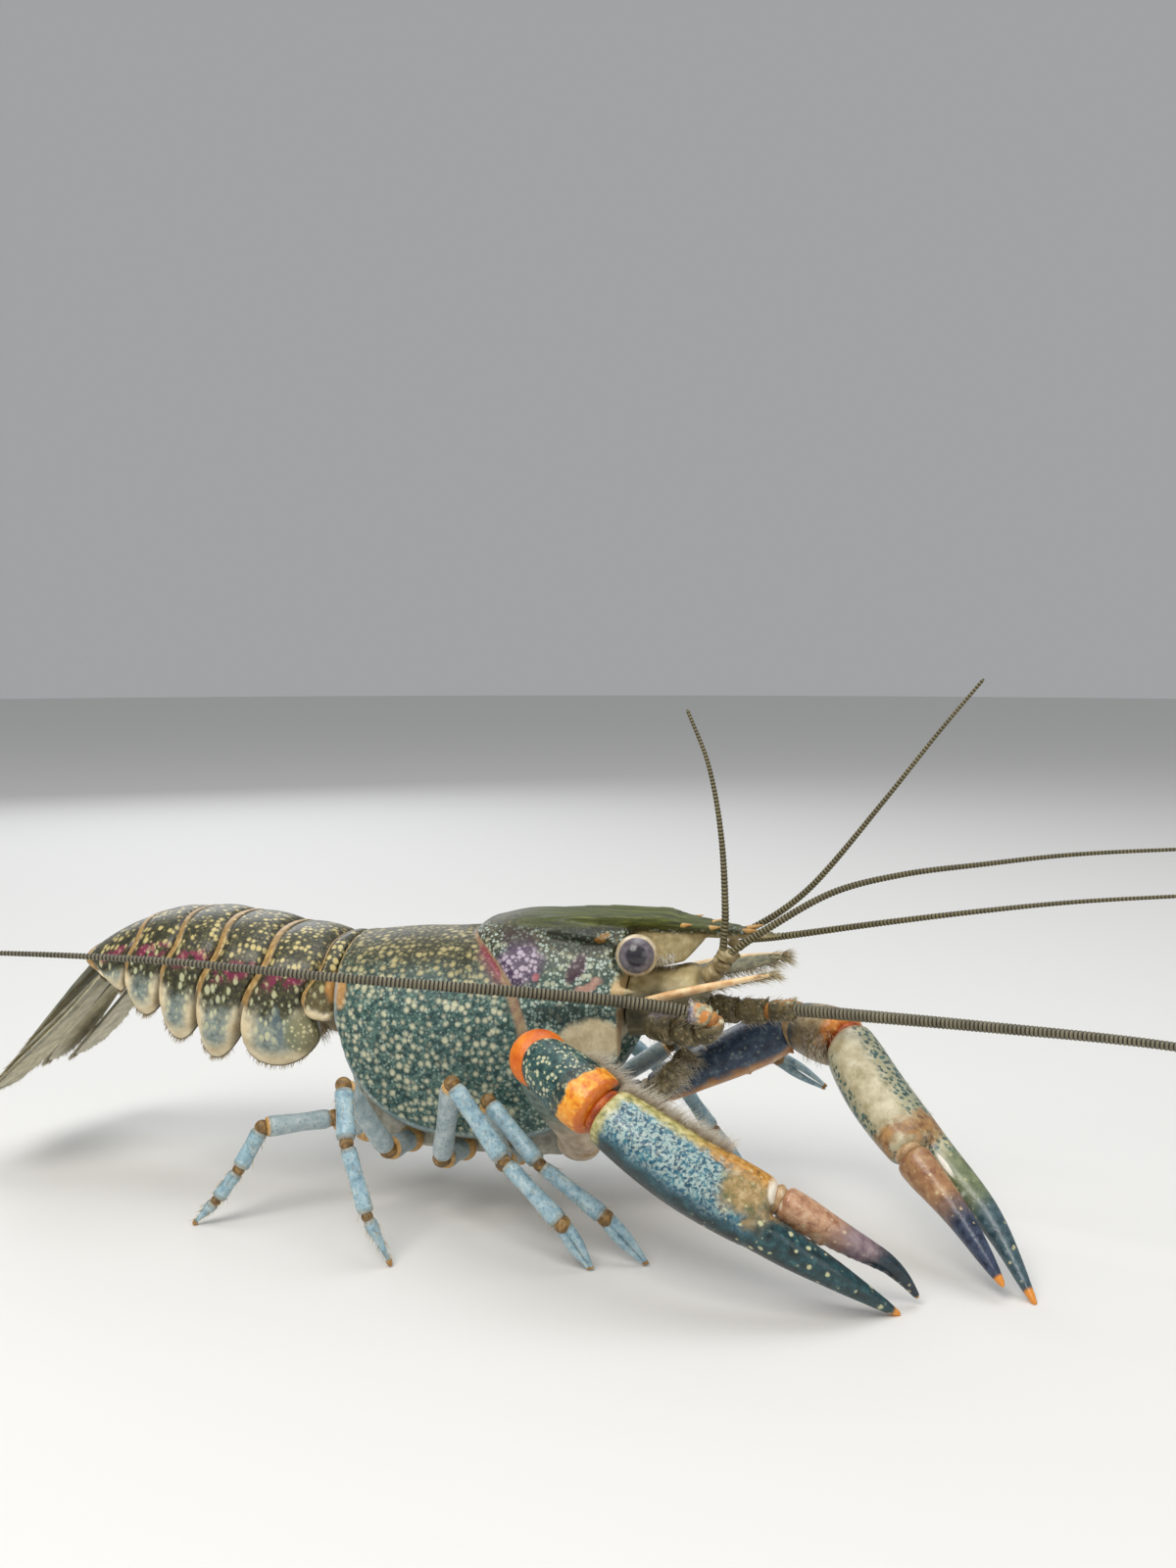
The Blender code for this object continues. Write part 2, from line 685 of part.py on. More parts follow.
def make_leg(number, side, places):
    joints = [point(*place) for place in places]
    radii = LEG_RADII[number]
    knee = joints[2]
    turn = joint_turn(joints[1], knee, joints[3])
    slot = turn * GAP * 0.5 * MM
    out = Vector((0, SIDES[side], 0))
    name = f"leg_{number}_{side}"
    upper = limb(name + "_upper", joints[:2] + [knee - slot], radii[:3], first=out, last=turn)
    lower_joints = [knee + slot] + joints[3:]
    stands = places[-1][2] < 0
    if number not in PINCER_LEGS:
        return [upper, limb(name + "_lower", lower_joints, radii[2:], first=turn, tip=stands)]
    shaft = limb("shaft", lower_joints, radii[2:], first=turn, tip=stands)
    palm, end = joints[4], joints[5]
    ahead = (end - palm).normalized()
    apart = ahead.cross(Vector((0, 1, 0))).normalized() * 1.25 * MM
    finger_path = [palm - ahead * 0.8 * MM, palm.lerp(end, 0.3) + apart * 1.1, end + apart * 0.9]
    finger = tube("finger", finger_path, (0.7, 0.55, 0.22), 6, Vector((0, 1, 0.1)), on_floor=stands)
    return [upper, combine(name + "_lower", shaft, [finger])]


def make_claw_arm(side):
    arm = CLAW_ARMS[side]
    root, ischium, elbow, wrist = (point(*arm[key]) for key in ("root", "ischium", "elbow", "wrist"))
    palm, hinge = point(*arm["palm"]), point(*arm["hinge"])
    half_gap = GAP * 0.5 * MM
    at_ischium = joint_turn(root, ischium, elbow)
    at_elbow = joint_turn(ischium, elbow, wrist)
    at_wrist = joint_turn(elbow, wrist, palm)

    path = [root, root.lerp(ischium, 0.35), root.lerp(ischium, 0.7), ischium - at_ischium * half_gap]
    out = Vector((0, SIDES[side], 0))
    base = tube(f"cheliped_{side}_base", path, (2.3, 2.7, 2.6, 2.4), 10, UP, out, at_ischium)

    path = [ischium.lerp(elbow, t) for t in (0.0, 0.12, 0.35, 0.58, 0.77, 1.0)]
    path[0] += at_ischium * half_gap
    path[-1] -= at_elbow * half_gap
    merus = skin(
        f"cheliped_{side}_merus",
        tube_rings(
            path, (2.2, 2.8, 3.3, 3.8, 3.9, 3.2), (2.2, 2.7, 3.1, 3.5, 3.6, 3.1), 10, UP, at_ischium, at_elbow
        ),
    )

    path = [elbow.lerp(wrist, t) for t in (0.0, 0.36, 0.58, 0.82, 1.0)]
    path[0] += at_elbow * half_gap
    path[-1] -= at_wrist * half_gap
    carpus = skin(
        f"cheliped_{side}_carpus",
        tube_rings(path, (3.3, 4.1, 4.5, 4.3, 3.2), (3.2, 3.9, 4.1, 4.0, 3.0), 10, UP, at_elbow, at_wrist),
    )

    outward = Vector(arm["outward"])
    ahead = (hinge - palm).normalized()
    outward = (outward - ahead * outward.dot(ahead)).normalized()
    over = outward.cross(ahead)
    finger_root = hinge + (outward * 2.2 + ahead * 1.0) * MM
    dactyl_root = hinge + (outward * -2.5 + ahead * 1.35) * MM
    finger_places = [finger_root] + [point(*place) for place in arm["finger"]]
    hand_path = curve_through((wrist + at_wrist * half_gap, palm, hinge), 7)
    path = hand_path + curve_through(finger_places, 8)
    widths = (3.1, 4.1, 4.5, 4.7, 4.8, 4.8, 4.6, 2.35, 2.3, 2.1, 1.8, 1.5, 1.15, 0.8, 0.4)
    heights = (2.9, 3.6, 3.8, 3.8, 3.7, 3.5, 3.2, 2.8, 2.5, 2.2, 1.9, 1.55, 1.2, 0.85, 0.45)
    hand = skin(
        f"cheliped_{side}_propodus",
        tube_rings(path, widths, heights, 12, over, at_wrist, held={6: ahead, 7: ahead}),
        on_floor=True,
    )
    path = curve_through([dactyl_root] + [point(*place) for place in arm["dactyl"]], 8)
    widths = (2.0, 2.1, 1.95, 1.75, 1.5, 1.2, 0.85, 0.4)
    heights = (2.4, 2.4, 2.2, 1.9, 1.6, 1.3, 0.9, 0.45)
    dactyl = skin(f"cheliped_{side}_dactyl", tube_rings(path, widths, heights, 10, over, ahead))
    return [base, merus, carpus, hand, dactyl]


# Feelers, eyes and mouthparts

def make_flagellum(name, places, radius_rows, count, first=None):
    path = curve_through(places, count)
    sizes = [value_at(radius_rows, i / (count - 1)) for i in range(count)]
    return tube(name, path, sizes, FLAGELLUM_SIDES, Vector((0, 0.2, 1)), first)


def make_antenna(side):
    sign = SIDES[side]
    peduncle_path = curve_through([point(*place) for place in PEDUNCLES[side]], len(PEDUNCLE_RADII))
    end = (peduncle_path[-1] - peduncle_path[-2]).normalized()
    peduncle = tube(f"antenna_peduncle_{side}", peduncle_path, PEDUNCLE_RADII, 10, UP, last=end)
    places = [point(*place) for place in FLAGELLA[side]]
    places[0] = peduncle_path[-1] + end * GAP * MM
    flagellum = make_flagellum(f"antenna_flagellum_{side}", places, FLAGELLUM_RADIUS, 24, end)
    root, tip = (point(*mirrored(place, sign)) for place in (SCALE_ROOT, SCALE_TIP))
    blade = [root.lerp(tip, t) for t in (0, 0.15, 0.4, 0.65, 0.85, 1)]
    widths = (1.2, 2.3, 3.0, 2.9, 1.9, 0.4)
    heights = (0.8, 0.65, 0.55, 0.5, 0.4, 0.3)
    scale = skin(f"antennal_scale_{side}", tube_rings(blade, widths, heights, 8, Vector((0, 0.25 * sign, 1))))
    return [peduncle, flagellum, scale]


def make_antennule(side):
    """A short base that carries two feelers side by side."""
    base_path = curve_through([point(*mirrored(place, SIDES[side])) for place in ANTENNULE_BASE], 7)
    end = (base_path[-1] - base_path[-2]).normalized()
    sizes = (1.1, 1.35, 1.3, 1.15, 1.35, 1.3, 1.1)
    base = tube(f"antennule_{side}_base", base_path, sizes, 10, UP, Vector((1, 0, 0)), end)
    fore = Vector((end.z, 0, -end.x)).normalized()
    pieces = [base]
    for which, shift in (("outer", -0.62), ("inner", 0.62)):
        start = base_path[-1] + (end * GAP + fore * shift) * MM
        places = [start] + [point(*place) for place in ANTENNULES[side][which]]
        pieces.append(make_flagellum(f"antennule_{side}_{which}", places, ANTENNULE_RADIUS, 14, end))
    return pieces


def make_eye(side):
    sign = SIDES[side]
    out = Vector((0, sign, 0))
    eyeball = ball("eyeball", mirrored(EYE_CENTRE, sign), EYE_RADIUS)
    path = [point(42.6, (KEEL_HALF_WIDTH + GAP) * sign, 37.7), point(42.9, 5.6 * sign, 38.0)]
    stalk = tube("stalk", path, (1.2, 1.7), 10, UP, out)
    return combine(f"eye_{side}", eyeball, [stalk])


def make_maxilliped(side):
    sign = SIDES[side]
    joints = [point(*mirrored(place, sign)) for place in MAXILLIPED]
    return limb(f"maxilliped_{side}", joints, (1.8, 1.9, 1.5, 1.1, 0.7), up=UP, first=Vector((1, 0, 0)))


COLOURS = {
    "carapace": ((0.10, 0.17, 0.14), 0.35),
    "sternum": ((0.42, 0.42, 0.38), 0.5),
    "epistome": ((0.42, 0.38, 0.26), 0.5),
    "abdomen": ((0.20, 0.22, 0.15), 0.4),
    "telson": ((0.30, 0.32, 0.22), 0.45),
    "uropod": ((0.33, 0.35, 0.26), 0.45),
    "cheliped": ((0.06, 0.22, 0.30), 0.35),
    "leg": ((0.30, 0.48, 0.60), 0.45),
    "antenna": ((0.16, 0.14, 0.09), 0.5),
    "antennal": ((0.75, 0.52, 0.30), 0.45),
    "antennule": ((0.20, 0.16, 0.09), 0.5),
    "eye": ((0.05, 0.045, 0.06), 0.1),
    "maxilliped": ((0.30, 0.28, 0.18), 0.6),
}


def paint(obj):
    """Gives a node its own material, by the first word of its name."""
    colour, roughness = COLOURS[obj.name.split("_")[0]]
    material = bpy.data.materials.new(obj.name)
    material.use_nodes = True
    shader = material.node_tree.nodes["Principled BSDF"]
    shader.inputs["Base Color"].default_value = (*colour, 1)
    shader.inputs["Roughness"].default_value = roughness
    shader.inputs["Metallic"].default_value = 0
    obj.data.materials.clear()
    obj.data.materials.append(material)
    obj.data.shade_smooth()
    obj.data.set_sharp_from_angle(angle=radians(40))


def centre_on_floor(nodes):
    """Places the nodes so that the middle of the whole model's footprint is the origin."""
    corners = [vert.co for obj in nodes for vert in obj.data.vertices]
    middle = Vector([(min(c[k] for c in corners) + max(c[k] for c in corners)) / 2 for k in (0, 1)] + [0])
    for obj in nodes:
        obj.location = -middle


def main():
    for obj in list(bpy.data.objects):
        bpy.data.objects.remove(obj)
    nodes = [make_carapace(), make_sternum(), make_epistome()]
    nodes += make_abdomen() + make_tail_fan()
    for side in SIDES:
        for number, places in (RIGHT_LEGS if side == "r" else LEFT_LEGS).items():
            nodes += make_leg(number, side, places)
        nodes += make_claw_arm(side)
        nodes += make_antenna(side) + make_antennule(side)
        nodes += [make_eye(side), make_maxilliped(side)]
    for obj in nodes:
        paint(obj)
    centre_on_floor(nodes)


main()
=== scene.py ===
import json
import random
from math import atan2, cos, exp, pi, radians, sin, sqrt

import bmesh
import bpy
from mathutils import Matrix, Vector
from mathutils.kdtree import KDTree

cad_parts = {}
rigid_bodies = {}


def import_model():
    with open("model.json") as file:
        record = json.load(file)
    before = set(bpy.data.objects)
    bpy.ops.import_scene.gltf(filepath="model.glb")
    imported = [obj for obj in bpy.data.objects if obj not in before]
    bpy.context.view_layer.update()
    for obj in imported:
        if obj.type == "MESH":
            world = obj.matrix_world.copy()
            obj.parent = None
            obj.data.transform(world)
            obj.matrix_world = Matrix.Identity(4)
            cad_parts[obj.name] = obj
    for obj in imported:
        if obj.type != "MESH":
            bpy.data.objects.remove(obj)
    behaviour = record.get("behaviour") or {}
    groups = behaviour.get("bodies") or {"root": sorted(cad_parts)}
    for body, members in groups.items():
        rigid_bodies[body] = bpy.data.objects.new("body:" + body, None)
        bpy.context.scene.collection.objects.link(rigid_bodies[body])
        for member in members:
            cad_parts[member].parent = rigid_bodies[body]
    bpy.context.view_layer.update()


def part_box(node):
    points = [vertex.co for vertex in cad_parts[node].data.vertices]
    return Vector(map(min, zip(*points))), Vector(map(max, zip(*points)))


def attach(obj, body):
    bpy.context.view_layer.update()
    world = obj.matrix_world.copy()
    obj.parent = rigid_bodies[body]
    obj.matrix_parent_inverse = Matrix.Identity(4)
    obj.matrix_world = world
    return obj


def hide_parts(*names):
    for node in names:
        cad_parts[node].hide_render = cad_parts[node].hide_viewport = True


# Places are in millimetres from the carapace's rear edge, on the floor under the mid-line:
# x forwards, y to the animal's left, z up. place() puts them in the frame.
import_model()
mm = 0.001
shellLow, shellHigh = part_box("carapace")
origin = Vector((shellLow[0], (shellLow[1] + shellHigh[1]) / 2, 0))
up = Vector((0, 0, 1))
forward = Vector((1, 0, 0))
sides = {"r": -1, "l": 1}
gap = 0.3
surfaceMarks = ("along", "across", "over")
skinRings = {}  # rings of the pieces that carry hair, by piece
random.seed(11)
print("frame loaded")


def place(x, y, z):
    return origin + Vector((x, y, z)) * mm


def placed(spot, sign=1):
    return place(spot[0], spot[1] * sign, spot[2])


def mirrored(spot, sign):
    return (spot[0], spot[1] * sign, spot[2])


def linked(name, data):
    made = bpy.data.objects.new(name, data)
    bpy.context.scene.collection.objects.link(made)
    return made


# Camera, lights and world

cameraSetup = {
    "spot": (91.4, -213.5, 80.4),
    "turn": 15.0,  # degrees away from square to the animal's side
    "pitch": 4.99,  # degrees down
    "focal": 36.11,
    "sensor": 36.0,
}
stageSetup = {
    "floorRadius": 2.4,
    "floorColour": (0.78, 0.77, 0.75),
    "worldColour": (0.84, 0.86, 0.88),
    "worldStrength": 0.42,
    "lightTarget": (0, 0, 0.02),
}
lightSetup = {
    "key": {"spot": (-0.10, -0.34, 0.46), "size": 0.28, "power": 1.9, "colour": (1.0, 0.97, 0.92)},
    "top": {"spot": (0.05, 0.12, 0.62), "size": 0.5, "power": 1.6, "colour": (0.95, 0.98, 1.0)},
    "front": {"spot": (0.55, -0.35, 0.22), "size": 0.35, "power": 0.7, "colour": (1.0, 0.98, 0.95)},
    "back": {"spot": (-0.35, 0.45, 0.30), "size": 0.35, "power": 0.7, "colour": (0.94, 0.97, 1.0)},
}


def makeCamera():
    lens = bpy.data.cameras.new("camera")
    lens.lens = cameraSetup["focal"]
    lens.sensor_width = cameraSetup["sensor"]
    lens.clip_start = 0.005
    camera = linked("camera", lens)
    camera.location = placed(cameraSetup["spot"])
    camera.rotation_euler = (radians(90 - cameraSetup["pitch"]), 0, radians(cameraSetup["turn"]))
    bpy.context.scene.camera = camera


def makeLights():
    for name, setup in lightSetup.items():
        light = bpy.data.lights.new(name, "AREA")
        light.size = setup["size"]
        light.energy = setup["power"]
        light.color = setup["colour"]
        lamp = linked(name, light)
        lamp.location = setup["spot"]
        aim = Vector(stageSetup["lightTarget"]) - Vector(setup["spot"])
        lamp.rotation_euler = aim.to_track_quat("-Z", "Y").to_euler()
    world = bpy.data.worlds.new("studio")
    world.use_nodes = True
    background = world.node_tree.nodes["Background"]
    background.inputs["Color"].default_value = (*stageSetup["worldColour"], 1)
    background.inputs["Strength"].default_value = stageSetup["worldStrength"]
    bpy.context.scene.world = world


makeCamera()
makeLights()
print("camera and lights set")


# Node helpers: every pattern is worked out in millimetres from the origin above, and each new node goes
# into the tree of the sockets that feed it

def tint(tone):  # screen values 0 to 255 as a scene colour
    return (*((c / 255) ** 2.2 for c in tone), 1.0)


def plug(socket, value):
    if isinstance(value, bpy.types.NodeSocket):
        socket.id_data.links.new(value, socket)
    elif value is not None:
        socket.default_value = tint(value) if socket.type == "RGBA" else value


def newNode(kind, *feeds):
    return next(feed for feed in feeds if isinstance(feed, bpy.types.NodeSocket)).id_data.nodes.new(kind)


def calc(operation, a, b=None):
    made = newNode("ShaderNodeMath", a, b)
    made.operation = operation
    plug(made.inputs[0], a)
    plug(made.inputs[1], b)
    return made.outputs[0]


def product(*factors):
    result = factors[0]
    for factor in factors[1:]:
        result = calc("MULTIPLY", result, factor)
    return result


def vectorCalc(operation, a, b=None, scale=None):
    made = newNode("ShaderNodeVectorMath", a)
    made.operation = operation
    plug(made.inputs[0], a)
    plug(made.inputs[1], b)
    if scale is not None:
        plug(made.inputs["Scale"], scale)
    return made.outputs["Value" if operation in ("LENGTH", "DOT_PRODUCT") else "Vector"]


def between(value, low, high):  # 0 at low, 1 at high, smooth between them
    made = newNode("ShaderNodeMapRange", value)
    made.interpolation_type = "SMOOTHSTEP"
    plug(made.inputs["Value"], value)
    made.inputs["From Min"].default_value = min(low, high)
    made.inputs["From Max"].default_value = max(low, high)
    made.inputs["To Min"].default_value = 0 if low < high else 1
    made.inputs["To Max"].default_value = 1 if low < high else 0
    return made.outputs["Result"]


def mixed(amount, a, b):
    made = newNode("ShaderNodeMix", amount, a, b)
    made.data_type = "RGBA"
    for slot, value in ((0, amount), (6, a), (7, b)):
        plug(made.inputs[slot], value)
    return made.outputs[2]


def layered(base, *layers):  # each layer, painted over the last, is its amounts and then its colour
    for *amounts, paint in layers:
        base = mixed(product(*amounts), base, paint)
    return base


def ramp(value, stops):
    made = newNode("ShaderNodeValToRGB", value)
    row = made.color_ramp.elements
    while len(row) < len(stops):
        row.new(0.5)
    for element, (spot, paint) in zip(row, stops):
        element.position = spot
        element.color = tint(paint)
    plug(made.inputs["Fac"], value)
    return made.outputs["Color"]


def parts(vector):
    made = newNode("ShaderNodeSeparateXYZ", vector)
    plug(made.inputs[0], vector)
    return made.outputs


def mark(spot, name):
    made = newNode("ShaderNodeAttribute", spot)
    made.attribute_name = name
    return made.outputs["Fac"]


def noise(vector, size, detail, rough=0.5):
    made = newNode("ShaderNodeTexNoise", vector)
    plug(made.inputs["Vector"], vector)
    made.inputs["Scale"].default_value = 1 / size
    made.inputs["Detail"].default_value = detail
    made.inputs["Roughness"].default_value = rough
    return made.outputs


def cloudy(vector, size, detail=3.0, rough=0.55, stretch=None):  # 0 to 1, features about size mm wide
    if stretch:
        vector = vectorCalc("MULTIPLY", vector, stretch)
    return noise(vector, size, detail, rough)["Fac"]


def tones(vector, size, detail, *paints, at=None, rough=0.55):  # a cloudy mixture of colours
    at = at or ((0.3, 0.7) if len(paints) == 2 else (0.3, 0.52, 0.78))
    return ramp(cloudy(vector, size, detail, rough), list(zip(at, paints)))


def wobbled(vector, size, amount):
    shift = vectorCalc("SUBTRACT", noise(vector, size, 2)["Color"], (0.5, 0.5, 0.5))
    return vectorCalc("ADD", vector, vectorCalc("SCALE", shift, scale=amount))


# Round spots of unlike sizes
def spotted(vector, spacing, radius, soft=0.35, vary=0.5, wobble=0.4, stray=1.0):
    vector = wobbled(vector, spacing * 0.6, spacing * wobble)
    cells = newNode("ShaderNodeTexVoronoi", vector)
    cells.inputs["Randomness"].default_value = stray
    plug(cells.inputs["Vector"], vector)
    cells.inputs["Scale"].default_value = 1 / spacing
    luck = parts(cells.outputs["Color"])[0]
    reach = product(calc("SUBTRACT", luck, 0.5), vary * radius / spacing * 2)
    edge = calc("SUBTRACT", cells.outputs["Distance"], reach)
    return between(edge, radius * (1 + soft) / spacing, radius * (1 - soft) / spacing)


# An oval seen from the side, on both sides: (x, z) of its centre, its reach and its turn in degrees
def patch(vector, centre, reach, turn=0.0, edge=0.3):
    made = newNode("ShaderNodeMapping", vector)
    made.vector_type = "TEXTURE"
    plug(made.inputs["Vector"], vector)
    made.inputs["Location"].default_value = (centre[0], 0, centre[1])
    made.inputs["Rotation"].default_value = (0, radians(turn), 0)
    made.inputs["Scale"].default_value = (reach[0], 1000, reach[1])
    return between(vectorCalc("LENGTH", made.outputs[0]), 1 + edge, 1 - edge)


# A finish, its shader, and the places on it in millimetres
def newFinish(name, roughness=0.4, coat=0.0, depth=0.0, sheen=0.0):
    finish = bpy.data.materials.new(name)
    finish.use_nodes = True
    shader = finish.node_tree.nodes["Principled BSDF"]
    shader.inputs["Roughness"].default_value = roughness
    shader.inputs["Coat Weight"].default_value = coat
    shader.inputs["Coat Roughness"].default_value = 0.18
    shader.inputs["Sheen Weight"].default_value = sheen
    shader.inputs["Subsurface Weight"].default_value = depth
    shader.inputs["Subsurface Radius"].default_value = (1.0, 0.75, 0.6)
    shader.inputs["Subsurface Scale"].default_value = 0.0012
    seen = finish.node_tree.nodes.new("ShaderNodeTexCoord").outputs["Object"]
    return finish, shader, vectorCalc("SCALE", vectorCalc("SUBTRACT", seen, origin), scale=1 / mm)


def paintOn(shader, paint, height=None, relief=0.1):
    plug(shader.inputs["Base Color"], paint)
    if height is not None:
        bump = newNode("ShaderNodeBump", height)
        bump.inputs["Distance"].default_value = relief * mm
        bump.inputs["Strength"].default_value = 1.0
        plug(bump.inputs["Height"], height)
        plug(shader.inputs["Normal"], bump.outputs["Normal"])


def pitted(vector, size=0.5):  # a shell's fine pores and grain
    pores = spotted(vector, size, size * 0.16, soft=0.8)
    return calc("SUBTRACT", cloudy(vector, size * 0.7, 4), product(pores, 0.8))


def ragged(value, spot, size, amount):  # a measure whose edges wander
    return calc("ADD", value, product(calc("SUBTRACT", cloudy(spot, size, 4), 0.5), amount))


# Mesh helpers

def valueAt(rows, t):  # a smooth curve through (t, value) rows
    i = 0
    while i < len(rows) - 2 and t > rows[i + 1][0]:
        i += 1
    before, here, there, after = (rows[min(max(k, 0), len(rows) - 1)] for k in range(i - 1, i + 3))
    span = there[0] - here[0]
    slopeHere = (there[1] - before[1]) / (there[0] - before[0]) * span
    slopeThere = (after[1] - here[1]) / (after[0] - here[0]) * span
    s = min(max((t - here[0]) / span, 0.0), 1.0)
    return (
        here[1] * (2 * s**3 - 3 * s**2 + 1)
        + slopeHere * (s**3 - 2 * s**2 + s)
        + there[1] * (3 * s**2 - 2 * s**3)
        + slopeThere * (s**3 - s**2)
    )


def vectorAt(rows, t):
    return Vector([valueAt([(spot, value[axis]) for spot, value in rows], t) for axis in range(3)])


def marksOf(spots):
    marks = [0.0]
    for a, b in zip(spots, spots[1:]):
        marks.append(marks[-1] + (b - a).length / mm)
    return marks


def keyAims(spots, aims):
    found = []
    for i, spot in enumerate(spots):
        ahead = Vector()
        if i > 0:
            ahead += (spot - spots[i - 1]).normalized()
        if i < len(spots) - 1:
            ahead += (spots[i + 1] - spot).normalized()
        found.append(aims.get(i, aims.get(i - len(spots), ahead)).normalized())
    return found


def stepsAlong(total, count, domes):
    steps = [total * i / (count - 1) for i in range(count)]
    for dome, flip in ((domes[0], False), (domes[1], True)):
        if dome:
            inside = [dome * (1 - cos(pi / 2 * k / 5)) for k in range(5)]
            if flip:
                steps = [s for s in steps if s < total - dome] + [total - s for s in inside[::-1]]
            else:
                steps = inside + [s for s in steps if s > dome]
    return steps


def sweep(keys, count=20, points=20, upward=up, aims=None, domes=(0, 0), square=1.0):
    # Rings along a curve through keys of (spot, half width, half height); domes round the ends off.
    spots = [key[0] for key in keys]
    marks = marksOf(spots)
    total = marks[-1]
    directions = list(zip(marks, keyAims(spots, aims or {})))
    rings = []
    across = None
    for s in stepsAlong(total, count, domes):
        centre = vectorAt(list(zip(marks, spots)), s)
        ahead = vectorAt(directions, s).normalized()
        across = (ahead.cross(upward) if across is None else across - ahead * across.dot(ahead)).normalized()
        over = across.cross(ahead)
        size = 1.0
        for dome, away in ((domes[0], s), (domes[1], total - s)):
            if dome and away < dome:
                size = max(sqrt(max(1 - (1 - away / dome) ** 2, 0)), 0.12)
        width = valueAt([(m, key[1]) for m, key in zip(marks, keys)], s) * size * mm
        height = valueAt([(m, key[2]) for m, key in zip(marks, keys)], s) * size * mm
        ring = {"along": s, "centre": centre, "ahead": ahead, "spots": [], "across": [], "over": []}
        ring["frame"] = (across, over, width, height)
        for k in range(points):
            turn = 2 * pi * (k + 0.5) / points
            x = cos(turn)
            y = sin(turn)
            x = abs(x) ** square * (1 if x > 0 else -1)
            y = abs(y) ** square * (1 if y > 0 else -1)
            ring["spots"].append(centre + across * width * x + over * height * y)
            ring["across"].append(x)
            ring["over"].append(y)
        rings.append(ring)
    return rings


def startMesh():
    bm = bmesh.new()
    for key in surfaceMarks:
        bm.verts.layers.float.new(key)
    return bm


def ringEdges(bm, loop):
    return [bm.edges.get(pair) for pair in zip(loop, loop[1:] + loop[:1])]


def addLoft(bm, rings, finish=0):
    layers = [bm.verts.layers.float[key] for key in surfaceMarks]
    loops = []
    for ring in rings:
        count = len(ring["spots"])
        circle = bmesh.ops.create_circle(bm, segments=count, radius=mm)["verts"]
        loop = sorted(circle, key=lambda vert: atan2(vert.co.y, vert.co.x))
        for k, vert in enumerate(loop):
            vert.co = ring["spots"][k]
            vert[layers[0]] = ring["along"][k] if isinstance(ring["along"], list) else ring["along"]
            vert[layers[1]] = ring["across"][k]
            vert[layers[2]] = ring["over"][k]
        loops.append(loop)
    for loop, following in zip(loops, loops[1:]):
        made = bmesh.ops.bridge_loops(bm, edges=ringEdges(bm, loop) + ringEdges(bm, following))
        for face in made["faces"]:
            face.material_index = finish
    for loop in (loops[0], loops[-1]):
        for face in bmesh.ops.contextual_create(bm, geom=ringEdges(bm, loop))["faces"]:
            face.material_index = finish


def addBall(bm, centre, radii, finish=0, segments=20, rings=14, aim=None):
    made = bmesh.ops.create_uvsphere(bm, u_segments=segments, v_segments=rings, radius=1.0)["verts"]
    turn = aim.to_track_quat("Z", "Y").to_matrix() if aim else None
    for vert in made:
        spot = Vector((vert.co.x * radii[0], vert.co.y * radii[1], vert.co.z * radii[2])) * mm
        vert.co = centre + (turn @ spot if turn else spot)
        for face in vert.link_faces:
            face.material_index = finish


def addSpike(bm, root, tip, radius, finish=0, points=8):
    keys = [(root.lerp(tip, t), radius * size, radius * size) for t, size in ((0, 1), (0.5, 0.72), (1, 0.12))]
    addLoft(bm, sweep(keys, 5, points, Vector((0.31, 0.87, 0.38))), finish)


def looseObject(name, bm):
    bmesh.ops.recalc_face_normals(bm, faces=bm.faces)
    mesh = bpy.data.meshes.new(name)
    bm.to_mesh(mesh)
    bm.free()
    return linked(name, mesh)


def smooth(bm, verts, rounds):
    for _ in range(rounds):
        bmesh.ops.smooth_vert(bm, verts=verts, factor=0.5, use_axis_x=True, use_axis_y=True, use_axis_z=True)


def finishPiece(name, bm, finishes, nodes=(), smoothing=0):
    piece = looseObject(name, bm)
    for finish in finishes:
        piece.data.materials.append(finish)
    piece.data.shade_smooth()
    piece.data.set_sharp_from_angle(angle=radians(50))
    if smoothing:
        finer = piece.modifiers.new("finer", "SUBSURF")
        finer.levels = smoothing
        finer.render_levels = smoothing
    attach(piece, "root")
    if nodes:
        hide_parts(*nodes)


# Carapace

carapaceSetup = {
    "frontX": 41.0,
    "stations": 64,
    "top": ((0, 38.5), (8, 39.5), (17, 40.2), (21, 41.9), (26, 43.1), (34, 43.2), (41, 42.4)),
    "side": ((0, 11.4), (5, 13.3), (12, 14.0), (20, 13.7), (28, 12.6), (35, 11.0), (41, 9.4)),
    "widest": ((0, 30.0), (8, 27.0), (20, 25.0), (30, 27.0), (41, 31.0)),
    "low": (
        (0, 28.0), (2, 22.6), (5, 18.4), (9, 14.9), (14, 12.9), (22, 12.2), (28, 12.6), (33, 14.6),
        (37, 18.4), (41, 25.0),
    ),
    "lowSide": ((0, 11.2), (5, 12.6), (13, 11.4), (25, 9.6), (33, 8.8), (41, 8.4)),
    "edgeWall": 0.9,
    "recess": 3.5,
    # height, x
    "groove": (
        (22.0, 28.9), (27.8, 28.2), (30.4, 27.4), (33.7, 26.0), (36.7, 23.6), (39.0, 20.8), (40.6, 17.6),
    ),
    "grooveDepth": 0.7,
    "grooveHalfWidth": 1.0,
    "rimWidth": 0.9,
    "crown": (39.5, 44),  # the top above this height and behind this x is smoothed more
    "grain": 0.28,
}
